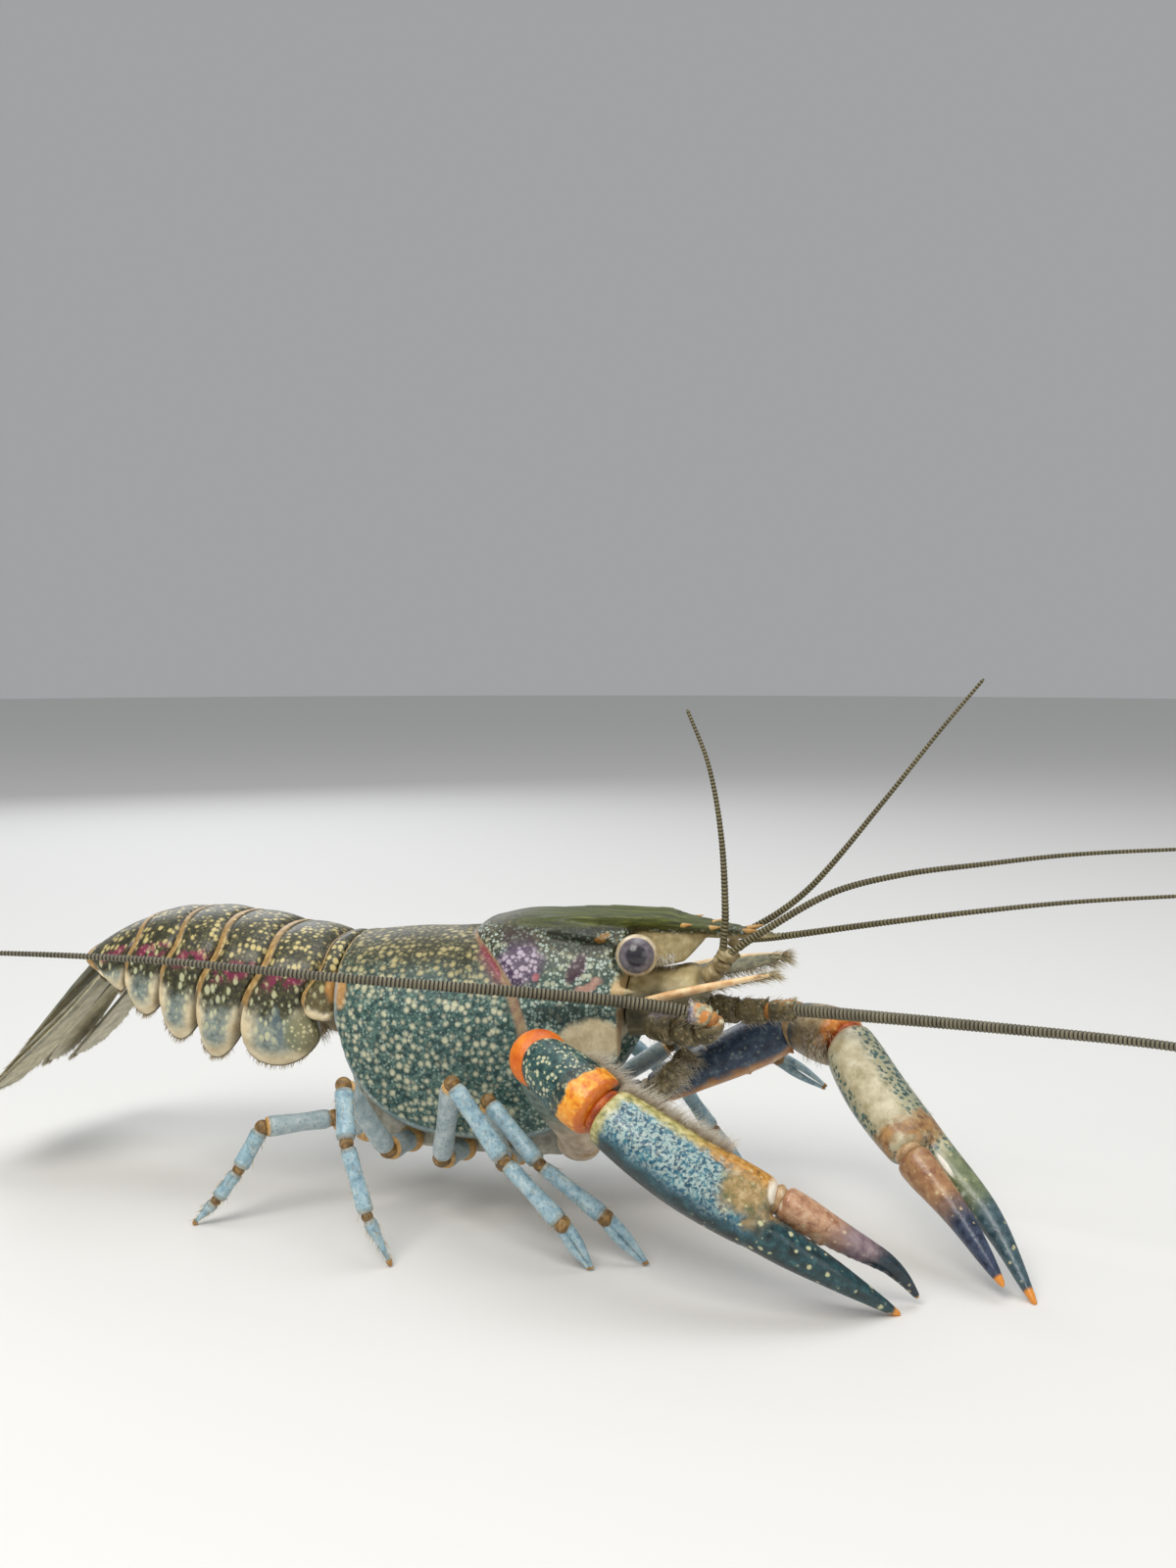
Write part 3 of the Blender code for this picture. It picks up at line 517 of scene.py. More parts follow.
rostrumSetup = {
    "stations": 45,
    # x, half width, top, thickness
    "sections": (
        (26.0, 4.2, 42.3, 1.9), (30.0, 4.9, 42.9, 2.2), (36.0, 4.9, 43.4, 2.6), (41.0, 4.4, 43.55, 3.3),
        (45.6, 3.8, 43.55, 3.5), (48.0, 3.5, 42.9, 2.9), (51.0, 3.1, 42.4, 2.4), (55.0, 2.3, 41.9, 1.9),
        (58.5, 1.4, 41.35, 1.2), (61.9, 0.35, 41.2, 0.6),
    ),
    "spines": ((48.4, 3.5, 42.2), (52.2, 2.8, 41.9), (57.2, 1.8, 41.5)),
    "ridge": ((27, 6.6, 41.2), (32, 7.4, 41.4), (36.5, 7.6, 41.0), (40.2, 7.4, 40.6)),
    "keel": ((39.0, 36.0, 3.0), (45.5, 36.1, 3.0), (48.6, 36.9, 2.6), (51.0, 39.6, 1.6)),
    "tubercle": ((25.0, 12.5, 29.3), (26.6, 13.5, 29.6)),
    "cheekSpine": ((40.0, 8.9, 33.6), (43.6, 9.6, 33.9)),
}
eyeSetup = {
    "centre": (43.2, 8.0, 38.6),
    "radius": 2.9,
    "orbit": 3.6,
    "aim": (0.16, 0.98, 0.06),
    "look": (0.2, 0.94, 0.16),  # the middle of the dark part
    "stalk": ((42.6, 2.9, 37.7, 1.2), (42.9, 5.0, 38.0, 1.9), (43.1, 6.6, 38.3, 2.5)),  # place and radius
}


def recessCeiling(x):
    return min(
        valueAt(carapaceSetup["low"], x) + carapaceSetup["recess"], valueAt(carapaceSetup["widest"], x) - 1,
    )


def grooveX(height):
    return valueAt(carapaceSetup["groove"], height)


def carapaceHalf(x):
    setup = carapaceSetup
    top, side, widest, low, lowSide = (
        valueAt(setup[key], x) for key in ("top", "side", "widest", "low", "lowSide")
    )
    outer = []
    for k in range(17):
        turn = pi / 2 * k / 16
        outer.append((side * sin(turn) ** 0.92, widest + (top - widest) * cos(turn) ** 0.9))
    for k in range(1, 13):
        turn = pi / 2 * k / 12
        outer.append((lowSide + (side - lowSide) * cos(turn), widest - (widest - low) * sin(turn)))
    half = []
    for y, z in outer:
        away = (x - grooveX(z)) / setup["grooveHalfWidth"]
        dent = setup["grooveDepth"] * exp(-away * away) if z > 22 else 0.0
        dent -= 0.16 * exp(-((away - 2.4) ** 2)) if z > 24 else 0.0
        rim = min(z - low, x * 1.2)
        dent -= 0.28 * exp(-((rim / setup["rimWidth"]) ** 4))
        shrink = 1 - dent / side
        half.append((y * shrink, widest + (z - widest) * shrink))
    wall = setup["edgeWall"]
    half.append((lowSide - wall * 0.6, low - 0.15))
    half.append((lowSide - wall, low + 0.3))
    half.append((lowSide - wall - 0.4, recessCeiling(x)))
    return half


def plainRing(x, spots):
    blank = [0.0] * len(spots)
    return {"along": x, "spots": spots, "across": blank, "over": blank}


def closedRing(x, half):
    left = [place(x, y, z) for y, z in half]
    right = [place(x, -y, z) for y, z in half[1:]]
    return plainRing(x, left + right[::-1])


def rostrumHalf(halfWidth, top, thickness):
    outline = (
        (0, 0.32), (0.35, 0.30), (0.62, 0.2), (0.8, 0.05), (0.92, 0.0), (1.0, 0.16), (0.98, 0.42),
        (0.7, 0.8), (0, 1),
    )
    return [(y * halfWidth, top - down * thickness) for y, down in outline]


def merged(base, others, operation="UNION"):  # one Boolean with all the others, returned as a bmesh
    group = bpy.data.collections.new("cutters")
    bpy.context.scene.collection.children.link(group)
    for other in others:
        bpy.context.scene.collection.objects.unlink(other)
        group.objects.link(other)
    modifier = base.modifiers.new("merge", "BOOLEAN")
    modifier.operation = operation
    modifier.solver = "MANIFOLD"
    modifier.operand_type = "COLLECTION"
    modifier.collection = group
    evaluated = base.evaluated_get(bpy.context.evaluated_depsgraph_get())
    bm = bmesh.new()
    bm.from_mesh(evaluated.to_mesh())
    evaluated.to_mesh_clear()
    for obj in list(group.objects) + [base]:
        bpy.data.objects.remove(obj)
    bpy.data.collections.remove(group)
    return bm


def regrained(bm, grain):  # even quads all over, then smoothed
    solid = looseObject("solid", bm)
    modifier = solid.modifiers.new("even", "REMESH")
    modifier.mode = "VOXEL"
    modifier.voxel_size = grain * mm
    evaluated = solid.evaluated_get(bpy.context.evaluated_depsgraph_get())
    even = bmesh.new()
    even.from_mesh(evaluated.to_mesh())
    evaluated.to_mesh_clear()
    bpy.data.objects.remove(solid)
    smooth(even, even.verts, 3)
    for key in surfaceMarks:
        if key not in even.verts.layers.float:
            even.verts.layers.float.new(key)
    return even


def shellFinish():
    finish, shader, spot = newFinish("carapace shell", roughness=0.5, coat=0.06, depth=0.06)
    x, y, z = parts(spot)
    edge = mark(spot, "across")
    behind = mark(spot, "along")  # how far behind the groove, in mm
    groove = mark(spot, "over")
    torn = wobbled(spot, 1.6, 1.5)
    rough = cloudy(spot, 3.0)
    grain = cloudy(spot, 0.7, 5, 0.65)
    teal = ramp(grain, (
        (0.3, (18, 40, 40)), (0.46, (42, 74, 72)), (0.58, (82, 112, 104)), (0.78, (140, 158, 138)),
    ))
    olive = ramp(grain, ((0.3, (24, 24, 10)), (0.5, (54, 52, 26)), (0.75, (100, 94, 56))))
    lift = calc("ADD", z, product(rough, 5))
    high = between(lift, 34.5, 41.0)
    base = mixed(high, teal, olive)
    # The gill cover's round spots
    rearZone = between(behind, 0.4, 1.8)
    big = spotted(spot, 1.12, 0.35, soft=0.75, vary=0.35, wobble=0.25, stray=0.75)
    halo = spotted(spot, 1.12, 0.52, soft=0.4, vary=0.35, wobble=0.25, stray=0.75)
    small = spotted(spot, 0.62, 0.16, soft=0.6, vary=0.5)
    cream = mixed(between(z, 31, 37), (216, 214, 180), (186, 172, 118))
    base = layered(
        base,
        (halo, rearZone, 0.4, mixed(high, (28, 48, 52), (32, 32, 16))),
        (small, 0.7, mixed(high, (160, 180, 166), (140, 134, 88))),
        (big, rearZone, 0.84, cream),
    )
    # Head markings
    headZone = between(behind, 0.2, -1.2)
    freckles = spotted(spot, 0.52, 0.16, soft=0.5, vary=0.8)
    coarse = spotted(spot, 0.95, 0.26, soft=0.5, vary=0.8)
    motes = spotted(spot, 0.66, 0.24, soft=0.6, vary=0.9)
    lilac = product(patch(torn, (27.3, 36.9), (3.0, 2.5), 0, 0.25), headZone)
    lilacRim = product(patch(torn, (27.3, 36.9), (3.5, 3.0), 0, 0.2), headZone)
    dusk = patch(torn, (26.4, 40.2), (2.8, 1.0), 6)
    plum = patch(torn, (35.1, 36.7), (1.0, 2.3), 21)
    plumHeart = patch(torn, (35.1, 36.7), (0.6, 1.8), 21)
    stripe = patch(torn, (36.4, 34.0), (2.4, 0.62), -30)
    blackGreen = patch(torn, (35.0, 40.0), (5.2, 1.35), 4)
    tealBand = patch(torn, (34.0, 30.4), (6.6, 1.35), 0)
    cheek = patch(torn, (37.5, 27.0), (4.2, 2.8), 0, 0.22)
    base = layered(
        base,
        (headZone, 0.5, mixed(between(z, 40, 37), olive, (70, 94, 88))),
        (freckles, headZone, between(z, 42, 40.5), (176, 192, 180)),
        (coarse, headZone, between(z, 41, 39), 0.7, (194, 198, 170)),
        (dusk, 0.75, (54, 34, 36)),
        (lilacRim, 0.8, (50, 34, 54)),
        (lilac, 0.85, mixed(motes, (72, 50, 80), (190, 174, 190))),
        (plum, 0.8, mixed(freckles, (66, 36, 54), (160, 140, 150))),
        (plumHeart, 0.6, (58, 22, 42)),
        (stripe, 0.85, mixed(cloudy(spot, 0.8), (214, 176, 150), (150, 92, 96))),
        (blackGreen, 0.85, mixed(freckles, (20, 28, 18), (64, 78, 54))),
        (tealBand, 0.8, mixed(freckles, (22, 40, 40), (84, 110, 102))),
        (cheek, 0.9, tones(spot, 1.6, 4, (198, 178, 136), (238, 220, 182))),
        (patch(spot, (29.7, 35.4), (0.5, 0.5)), 0.75, (166, 84, 92)),
        (patch(torn, (38.0, 40.4), (0.8, 0.45)), 0.5, (186, 132, 56)),
        (patch(torn, (41.0, 33.6), (1.1, 1.9)), 0.85, (216, 184, 132)),
        (between(x, 40.5, 40.9), between(z, 32, 31), 0.7, (132, 96, 52)),
    )
    # The groove, the dark keeled top, the soft brow under it and the pale rear rim
    crimson = patch(torn, (22.6, 36.0), (1.3, 3.1), -32)
    scar = mixed(crimson, tones(torn, 1.2, 3, (150, 104, 84), (188, 164, 122)), (148, 66, 78))
    lines = cloudy(spot, 0.8, 3, 0.6, (0.1, 1.8, 1.8))
    beakTop = product(between(z, 41.2, 42.0), between(x, 22, 29))
    beak = ramp(lines, ((0.3, (32, 38, 8)), (0.55, (76, 84, 24)), (0.8, (118, 124, 52))))
    brow = product(between(z, 41.3, 40.5), between(x, 41.6, 42.8))
    rimShade = between(z, 36, 33)
    base = layered(
        base,
        (between(groove, 0.3, 0.85), 0.8, scar),
        (crimson, between(behind, 2.6, 0.6), 0.6, mixed(small, (134, 54, 68), (176, 112, 112))),
        (beakTop, 0.9, beak),
        (patch(torn, (34.0, 41.3), (7.0, 0.3), -1, 0.5), 0.7, (26, 30, 14)),
        (brow, 0.9, tones(spot, 1.4, 4, (150, 134, 92), (206, 188, 142))),
        (patch(torn, (1.0, 32.0), (1.3, 2.2)), 0.7, (208, 150, 80)),
        (between(edge, 1.1, 0.4), rimShade, 0.65, (150, 168, 172)),
        (between(edge, 0.7, 0.3), between(z, 33, 36), 0.7, (172, 138, 82)),
        (between(edge, 0.34, 0.16), 0.6, (120, 128, 122)),
    )
    paintOn(shader, base, pitted(spot, 0.6), 0.05)
    return finish


def makeCarapace():
    setup = carapaceSetup
    count = setup["stations"]
    bm = startMesh()
    stations = [setup["frontX"] * i / (count - 1) for i in range(count)]
    addLoft(bm, [closedRing(x, carapaceHalf(x)) for x in stations])
    shell = looseObject("shell", bm)
    bm = startMesh()
    sections = rostrumSetup["sections"]
    first, last = sections[0][0], sections[-1][0]
    count = rostrumSetup["stations"]
    rings = []
    for x in (first + (last - first) * i / (count - 1) for i in range(count)):
        half = rostrumHalf(
            *(valueAt([(section[0], section[k]) for section in sections], x) for k in (1, 2, 3))
        )
        left = [place(x, y, z) for y, z in half]
        right = [place(x, -y, z) for y, z in half[1:-1]]
        rings.append(plainRing(x, left + right[::-1]))
    addLoft(bm, rings)
    others = [looseObject("beak", bm)]
    bm = startMesh()
    rings = []
    for x, low, half in rostrumSetup["keel"]:
        spots = [place(x, half * side, z) for side, z in ((-1, low), (-1, 41.0), (1, 41.0), (1, low))]
        rings.append(plainRing(x, spots))
    addLoft(bm, rings)
    others.append(looseObject("keel", bm))
    for sign in sides.values():
        bm = startMesh()
        ridge = [placed(spot, sign) for spot in rostrumSetup["ridge"]]
        keys = [(spot - up * 0.25 * mm, size, size) for spot, size in zip(ridge, (0.2, 0.6, 0.65, 0.3))]
        addLoft(bm, sweep(keys, 14, 10))
        others.append(looseObject("ridge", bm))
        bm = startMesh()
        addSpike(bm, *(placed(spot, sign) for spot in rostrumSetup["cheekSpine"]), 0.8)
        others.append(looseObject("cheekSpine", bm))
        bm = startMesh()
        addSpike(bm, *(placed(spot, sign) for spot in rostrumSetup["tubercle"]), 0.75, points=12)
        others.append(looseObject("tubercle", bm))
    joined = looseObject("joined", merged(shell, others))
    orbits = []
    for sign in sides.values():
        bm = bmesh.new()
        addBall(bm, placed(eyeSetup["centre"], sign), [eyeSetup["orbit"]] * 3, segments=32, rings=24)
        orbits.append(looseObject("orbit", bm))
    bm = regrained(merged(joined, orbits, "DIFFERENCE"), setup["grain"])
    low, front = setup["crown"]
    crown = [vert for vert in bm.verts if vert.co.z > low * mm and (vert.co.x - origin.x) / mm < front]
    smooth(bm, crown, 9)
    layers = [bm.verts.layers.float[key] for key in surfaceMarks]
    # The marks: how far behind the groove, how far in from the rim, and how deep in the groove. The rostrum
    # counts as far from the rim and before the groove.
    for vert in bm.verts:
        x, y, z = (vert.co - origin) / mm
        away = grooveX(z) - x
        vert[layers[0]] = away if x < setup["frontX"] else -5
        vert[layers[1]] = min(z - valueAt(setup["low"], x), x * 1.2) if x < 39 else 9
        vert[layers[2]] = exp(-((away / setup["grooveHalfWidth"]) ** 2)) if z > 22 and x < 36 else 0
    for sign in sides.values():
        for x, y, z in rostrumSetup["spines"]:
            root = place(x - 0.5, (y - 0.7) * sign, z - 0.2)
            addSpike(bm, root, place(x + 1.7, (y + 0.6) * sign, z + 0.25), 0.42, 1, 10)
    horn, shader, spot = newFinish("spine horn", roughness=0.35)
    paintOn(shader, tones(spot, 1.2, 3, (176, 120, 58), (214, 176, 112), at=(0.35, 0.7)))
    finishPiece("carapace", bm, [shellFinish(), horn], ["carapace"])


makeCarapace()
print("carapace made")


# Abdomen: six lapping plates with side lobes, and swimmerets under the middle ones

abdomenSetup = {
    # between one plate and the next: top x, top z, lower x, lower z, half width, bow at two heights
    "boundaries": (
        (-0.15, 38.0, -0.15, 20.5, 10.6, 0.0, 0.0), (-2.9, 38.0, -2.4, 24.5, 11.3, -2.2, 0.2),
        (-11.1, 39.3, -15.0, 23.8, 11.9, 0.0, 1.3), (-19.2, 40.6, -21.8, 25.2, 11.5, -0.2, 1.4),
        (-26.2, 40.9, -28.2, 27.6, 10.7, 0.0, 1.3), (-33.6, 39.8, -34.4, 29.8, 9.5, 0.2, 1.1),
        (-43.4, 34.6, -38.3, 30.6, 7.6, 0.0, 0.0),
    ),
    "bowHeights": (0.42, 0.74),
    "lobeDepths": (1.0, 3.8, 3.6, 3.2, 2.4, 1.0),
    "lobeWall": 1.3,
    "notch": 0.2,
    "firstLobe": 28.2,  # the first plate's side ends at this height, over the bare belly skin
    "relief": (
        (0.0, -0.5), (0.07, -0.42), (0.15, -0.08), (0.3, 0.04), (0.6, 0.08), (0.86, 0.02), (0.9, -0.1),
        (0.93, 0.1), (0.98, 0.18), (1.02, 0.12), (1.07, -0.05),
    ),
    "stations": 34,
    "swimmerets": (0.0, 7.5, 7.2, 6.4, 5.4, 0.0),
}


def plateRing(number, t):
    setup = abdomenSetup
    front, rear = setup["boundaries"][number], setup["boundaries"][number + 1]
    row = [a + (b - a) * t for a, b in zip(front, rear)]
    crown = max(1 - (2 * t - 1) ** 2, 0.0)
    rounding = crown**0.5
    top = Vector((row[0], row[1] + 0.45 * crown))
    low = Vector((row[2], row[3]))
    height = (top - low).length
    over = (top - low).normalized()
    length = (Vector(front[:2]) - Vector(rear[:2])).length
    flare = valueAt(((0, 0.955), (0.2, 0.985), (0.6, 1.0), (0.92, 1.015), (1, 1.0), (1.1, 0.99)), t)
    relief = valueAt(setup["relief"], t)
    half = row[4] * flare + relief
    edge = setup["notch"] * height * (1 - rounding) - setup["lobeDepths"][number] * rounding
    if number == 0:
        edge = setup["firstLobe"] - low.y - rounding
    shoulder = max(0.42 * height, edge + 1.5)
    outer = []
    for k in range(19):
        turn = pi / 2 * k / 18
        rise = shoulder + (height - shoulder) * cos(turn) ** 0.85 + relief * cos(turn)
        outer.append((half * sin(turn) ** 0.9, rise))
    side = (
        (0, half, shoulder), (1, half, shoulder * 0.6 + edge * 0.4),
        (2, half * 0.985, shoulder * 0.25 + edge * 0.75), (3, half * 0.93, edge),
    )
    for k in range(1, 15):
        s = 3 * k / 14
        bulge = 0.75 * sin(pi * min((s / 3) ** 1.4, 1)) * rounding
        width, rise = (valueAt([(entry[0], entry[axis]) for entry in side], s) for axis in (1, 2))
        outer.append((width + bulge, rise))
    count = len(outer)
    wall = half * 0.86 - setup["lobeWall"]
    inner = [
        (half * 0.93 - 0.25, edge - 0.08), (half * 0.93 - 0.6, edge + 0.15), (wall + 0.4, edge + 1.2),
        (wall, 0.22 * height),
    ]
    girth = [0.0]
    for a, b in zip(outer, outer[1:]):
        girth.append(girth[-1] + sqrt((a[0] - b[0]) ** 2 + (a[1] - b[1]) ** 2))
    bow = ((0, 0), (setup["bowHeights"][0], row[5]), (setup["bowHeights"][1], row[6]), (1, 0))
    ring = {"along": t, "spots": [], "across": [], "over": []}
    half = outer + inner
    for sign, order in ((1, range(len(half))), (-1, range(len(half) - 1, 0, -1))):
        for k in order:
            spot = low + over * half[k][1]
            shift = valueAt(bow, min(max(half[k][1] / height, 0.0), 1.0))
            ring["spots"].append(place(spot.x + shift, half[k][0] * sign, spot.y))
            ring["across"].append(k / (count - 1) if k < count + 1 else 1.3)
            sideways = min(t, max(1 - t, 0)) * length * 1.3
            ring["over"].append(min(girth[-1] - girth[min(k, count - 1)], sideways))
    return ring


def plateFinish(number):
    finish, shader, spot = newFinish(f"abdomen plate {number + 1}", roughness=0.4, coat=0.12, depth=0.08)
    around = mark(spot, "across")
    along = mark(spot, "along")
    edge = mark(spot, "over")
    torn = wobbled(spot, 1.4, 1.3)
    grain = cloudy(spot, 0.8, 5, 0.65)
    base = ramp(grain, ((0.3, (24, 25, 10)), (0.5, (52, 51, 27)), (0.75, (98, 93, 55))))
    flank = calc("ADD", around, product(calc("SUBTRACT", cloudy(spot, 2.2), 0.5), 0.22))
    greyBlue = ramp(grain, ((0.3, (84, 96, 92)), (0.5, (128, 140, 134)), (0.75, (176, 176, 152))))
    cream = tones(spot, 1.6, 3, (206, 184, 142), (236, 222, 186))
    stretched = vectorCalc("MULTIPLY", spot, (1, 1, 0.6))
    spots = spotted(stretched, 0.88, 0.27, soft=0.5, vary=0.6, wobble=0.3, stray=0.85)
    fine = spotted(spot, 0.6, 0.13, soft=0.6)
    lobe = between(flank, 0.6, 0.74)
    tergite = calc("SUBTRACT", 1.0, lobe)
    base = layered(
        base,
        (fine, 0.5, (148, 140, 92)),
        (spots, 0.9, mixed(between(flank, 0.35, 0.6), (206, 188, 124), (192, 196, 158))),
    )
    slanted = calc("ADD", around, product(along, -0.06))
    blotch = product(between(slanted, 0.37, 0.41), between(slanted, 0.52, 0.46))
    blotch = product(blotch, between(cloudy(torn, 1.3, 4), 0.42, 0.54))
    blotch = product(blotch, between(along, 0.05, 0.3), between(along, 0.9, 0.7))
    band = product(between(along, 0.905, 0.95), between(flank, 0.74, 0.6))
    tan = tones(spot, 0.9, 3, (152, 114, 62), (204, 164, 100))
    lobeEdge = between(edge, 3.6, 1.0)
    base = layered(
        base,
        (lobe, mixed(product(spots, between(flank, 0.86, 0.74)), greyBlue, (196, 196, 160))),
        (lobe, lobeEdge, cream),
        (blotch, 0.75 if number else 0.0, mixed(fine, (136, 40, 78), (196, 110, 130))),
        # painted shade: a soft dark line in the groove in front of the rear band
        (between(along, 0.88, 0.9), between(along, 0.93, 0.915), tergite, 0.5, (38, 34, 16)),
        (band, 0.75, tan),
        (between(edge, 0.3, 0.14), between(around, 0.6, 0.7), 0.8, (66, 52, 32)),
        # painted shade: darker at each plate's front, where it runs under the rear rim of the plate before it
        (between(along, 0.2, 0.08), 0.5, (40, 34, 18)),
        (between(around, 1.05, 1.2), tones(spot, 1.2, 4, (96, 82, 58), (158, 142, 112))),
    )
    if number == 1:
        lobeSpots = mixed(spotted(spot, 0.75, 0.2, soft=0.5), (110, 112, 80), (206, 198, 152))
        base = layered(
            base,
            (patch(torn, (-5.2, 25.6), (2.3, 2.9), 0), lobe, 0.8, lobeSpots),
            (patch(torn, (-8.4, 26.6), (0.7, 2.8), -14), 0.7, (84, 104, 114)),
        )
    if number == 0:
        base = layered(
            base,
            (between(around, 0.35, 0.6), 0.25, (166, 142, 96)),
            (patch(torn, (-0.6, 32.0), (1.0, 2.0)), 0.7, (206, 146, 78)),
        )
    paintOn(shader, base, pitted(spot, 0.55), 0.05)
    return finish


def addSwimmeret(bm, number, sign):
    front, rear = abdomenSetup["boundaries"][number], abdomenSetup["boundaries"][number + 1]
    x = (front[2] + rear[2]) / 2
    z = (front[3] + rear[3]) / 2 + 5.0
    length = abdomenSetup["swimmerets"][number]
    knee = place(x - 0.6, 5.8 * sign, z - 0.62 * length)
    sideways = Vector((0, 1, 0))
    keys = [(place(x, 5.0 * sign, z), 0.9, 0.6), (knee, 0.8, 0.55)]
    addLoft(bm, sweep(keys, 8, 12, sideways, domes=(0, 0.4)), 1)
    for lean, shift in ((-1.9, 0.7), (-2.9, -0.7)):
        tip = place(x + lean, (6.1 + shift) * sign, z - 1.15 * length)
        keys = [
            (knee, 0.5, 0.35), (knee.lerp(tip, 0.4), 1.1, 0.32), (knee.lerp(tip, 0.8), 1.0, 0.28),
            (tip, 0.6, 0.22),
        ]
        rings = sweep(keys, 14, 14, sideways, domes=(0, 0.8))
        skinRings.setdefault("swimmerets", []).append(rings)
        addLoft(bm, rings, 1)


def makeAbdomen():
    soft, shader, spot = newFinish("swimmeret skin", roughness=0.5, depth=0.2)
    paintOn(shader, tones(spot, 1.2, 4, (112, 92, 64), (156, 138, 108), (190, 176, 150), at=(0.3, 0.55, 0.8)))
    count = abdomenSetup["stations"]
    for number in range(6):
        bm = startMesh()
        steps = [1.06 * i / (count - 1) for i in range(count)]
        addLoft(bm, [plateRing(number, t) for t in steps])
        if abdomenSetup["swimmerets"][number]:
            for sign in sides.values():
                addSwimmeret(bm, number, sign)
        finishPiece(
            f"abdomen{number + 1}", bm, [plateFinish(number), soft], [f"abdomen_{number + 1}"],
        )


makeAbdomen()
print("abdomen made")


# Tail fan, in its own frame: along the middle line, across to the left, over the upper face

tailSetup = {
    "root": (-40.85, 32.6),
    "slope": 46,
    "halfThickness": 0.42,
    "stations": 44,
    "points": 44,
    "roundFrom": 0.88,  # share of a plate's length where its round end begins
    "telson": {
        "start": (0.4, 0.0, 1.05), "end": (26.0, 0.0, 0.25), "halfWidths": (4.6, 5.6, 5.4, 5.0, 4.4, 2.8),
        "arch": 0.3, "rootThickness": 1.0, "ribs": (-0.38, 0.38), "hinge": None,
    },
    "inner": {
        "start": (0.35, 3.0, -1.1), "end": (24.5, 6.6, -1.2), "halfWidths": (1.6, 2.6, 3.7, 4.4, 4.5, 2.8),
        "arch": 0.0, "rootThickness": 0.65, "ribs": (0.0,), "hinge": None,
    },
    "outer": {
        "start": (0.3, 6.7, -2.5), "end": (23.0, 11.0, -2.6), "halfWidths": (1.6, 2.6, 3.7, 4.3, 4.4, 2.8),
        "arch": -0.5, "rootThickness": 0.65, "ribs": (-0.1, 0.5), "hinge": 0.68,
    },
}


def fanSpot(along, across, over):
    slope = radians(tailSetup["slope"])
    x = tailSetup["root"][0] - along * cos(slope) - over * sin(slope)
    z = tailSetup["root"][1] - along * sin(slope) + over * cos(slope)
    return place(x, across, z)


def leafSpot(shape, sign, t, side, over=0.0):  # a place on a fan plate; side runs from -1 to 1
    root, tip = (Vector(mirrored(shape[key], sign)) for key in ("start", "end"))
    course = (tip - root).normalized()
    sideways = Vector((-course.y, course.x, 0)).normalized()
    widths = [((i / 5) ** 0.9, width) for i, width in enumerate(shape["halfWidths"])]
    width = valueAt(widths, t)
    start = tailSetup["roundFrom"]
    if t > start:
        width = valueAt(widths, start) * sqrt(max(1 - ((t - start) / (1 - start)) ** 2, 0.0))
    width = max(width, 0.25)
    spot = root.lerp(tip, t) + sideways * side * width
    lift = shape["arch"] * 4 * t * (1 - t) - 0.07 * width * side * side
    return fanSpot(spot.x, spot.y, spot.z + lift + over)


def addFanPlate(bm, shape, sign):
    half = tailSetup["halfThickness"]
    count, points = tailSetup["stations"], tailSetup["points"]
    rings = []
    for i in range(count):
        t = 1 - (1 - i / (count - 1)) ** 1.25
        thick = half + (shape["rootThickness"] - half) * max(1 - 3 * t, 0)
        ring = {"along": t, "spots": [], "across": [], "over": []}
        for k in range(points):
            turn = 2 * pi * (k + 0.5) / points
            side = cos(turn)
            over = thick * abs(sin(turn)) ** 0.45 * (1 if sin(turn) > 0 else -1)
            if sin(turn) > 0:
                ridges = sum(0.3 * exp(-(((side - rib * sign) / 0.07) ** 2)) for rib in shape["ribs"])
                over += ridges * min(4 * (1 - t), 1)
                over += 0.05 * sin(side * 46) * min(3 * (1 - t), 1) * min(t * 3, 1)
            if shape["hinge"]:
                over *= 1 - 0.35 * exp(-(((t - shape["hinge"] + 0.06 * side * side) / 0.012) ** 2))
            ring["spots"].append(leafSpot(shape, sign, t, side, over))
            ring["across"].append(side)
            ring["over"].append(min(1 - abs(side), (1 - t) * 3.5))
        rings.append(ring)
    addLoft(bm, rings)
    if shape["hinge"]:
        for k in range(9):
            side = -0.75 + 0.19 * k
            t = shape["hinge"] - 0.06 * side * side
            addSpike(
                bm, leafSpot(shape, sign, t - 0.015, side, 0.3),
                leafSpot(shape, sign, t + 0.035, side, 0.45), 0.22,
            )
    for side in (-1, 1) if shape is tailSetup["telson"] else (sign,):
        root = leafSpot(shape, sign, 0.62, side * 0.9)
        addSpike(bm, root, leafSpot(shape, sign, 0.7, side * 1.12), 0.32)


def fanFinish(name, dark):
    finish, shader, spot = newFinish(name, roughness=0.45, depth=0.12)
    along = mark(spot, "along")
    edge = mark(spot, "over")
    base = tones(
        spot, 1.6, 4, (148, 142, 112), (186, 178, 146), (222, 214, 182), at=(0.3, 0.5, 0.75), rough=0.6,
    )
    rootTone = tones(spot, 1.0, 4, (52, 54, 28), (116, 114, 72), rough=0.6)
    rays = cloudy(vectorCalc("MULTIPLY", spot, (0.15, 2.2, 0.15)), 0.9, 2)
    base = layered(
        base,
        (between(along, 0.55, 0.1), dark, rootTone),
        (spotted(spot, 1.3, 0.3), 0.5, (206, 196, 150)),
        (between(rays, 0.5, 0.62), 0.16, (108, 110, 92)),
        (between(edge, 0.06, 0.02), 0.6, (62, 70, 76)),
    )
    paintOn(shader, base, calc("ADD", pitted(spot, 0.5), rays), 0.06)
    return finish


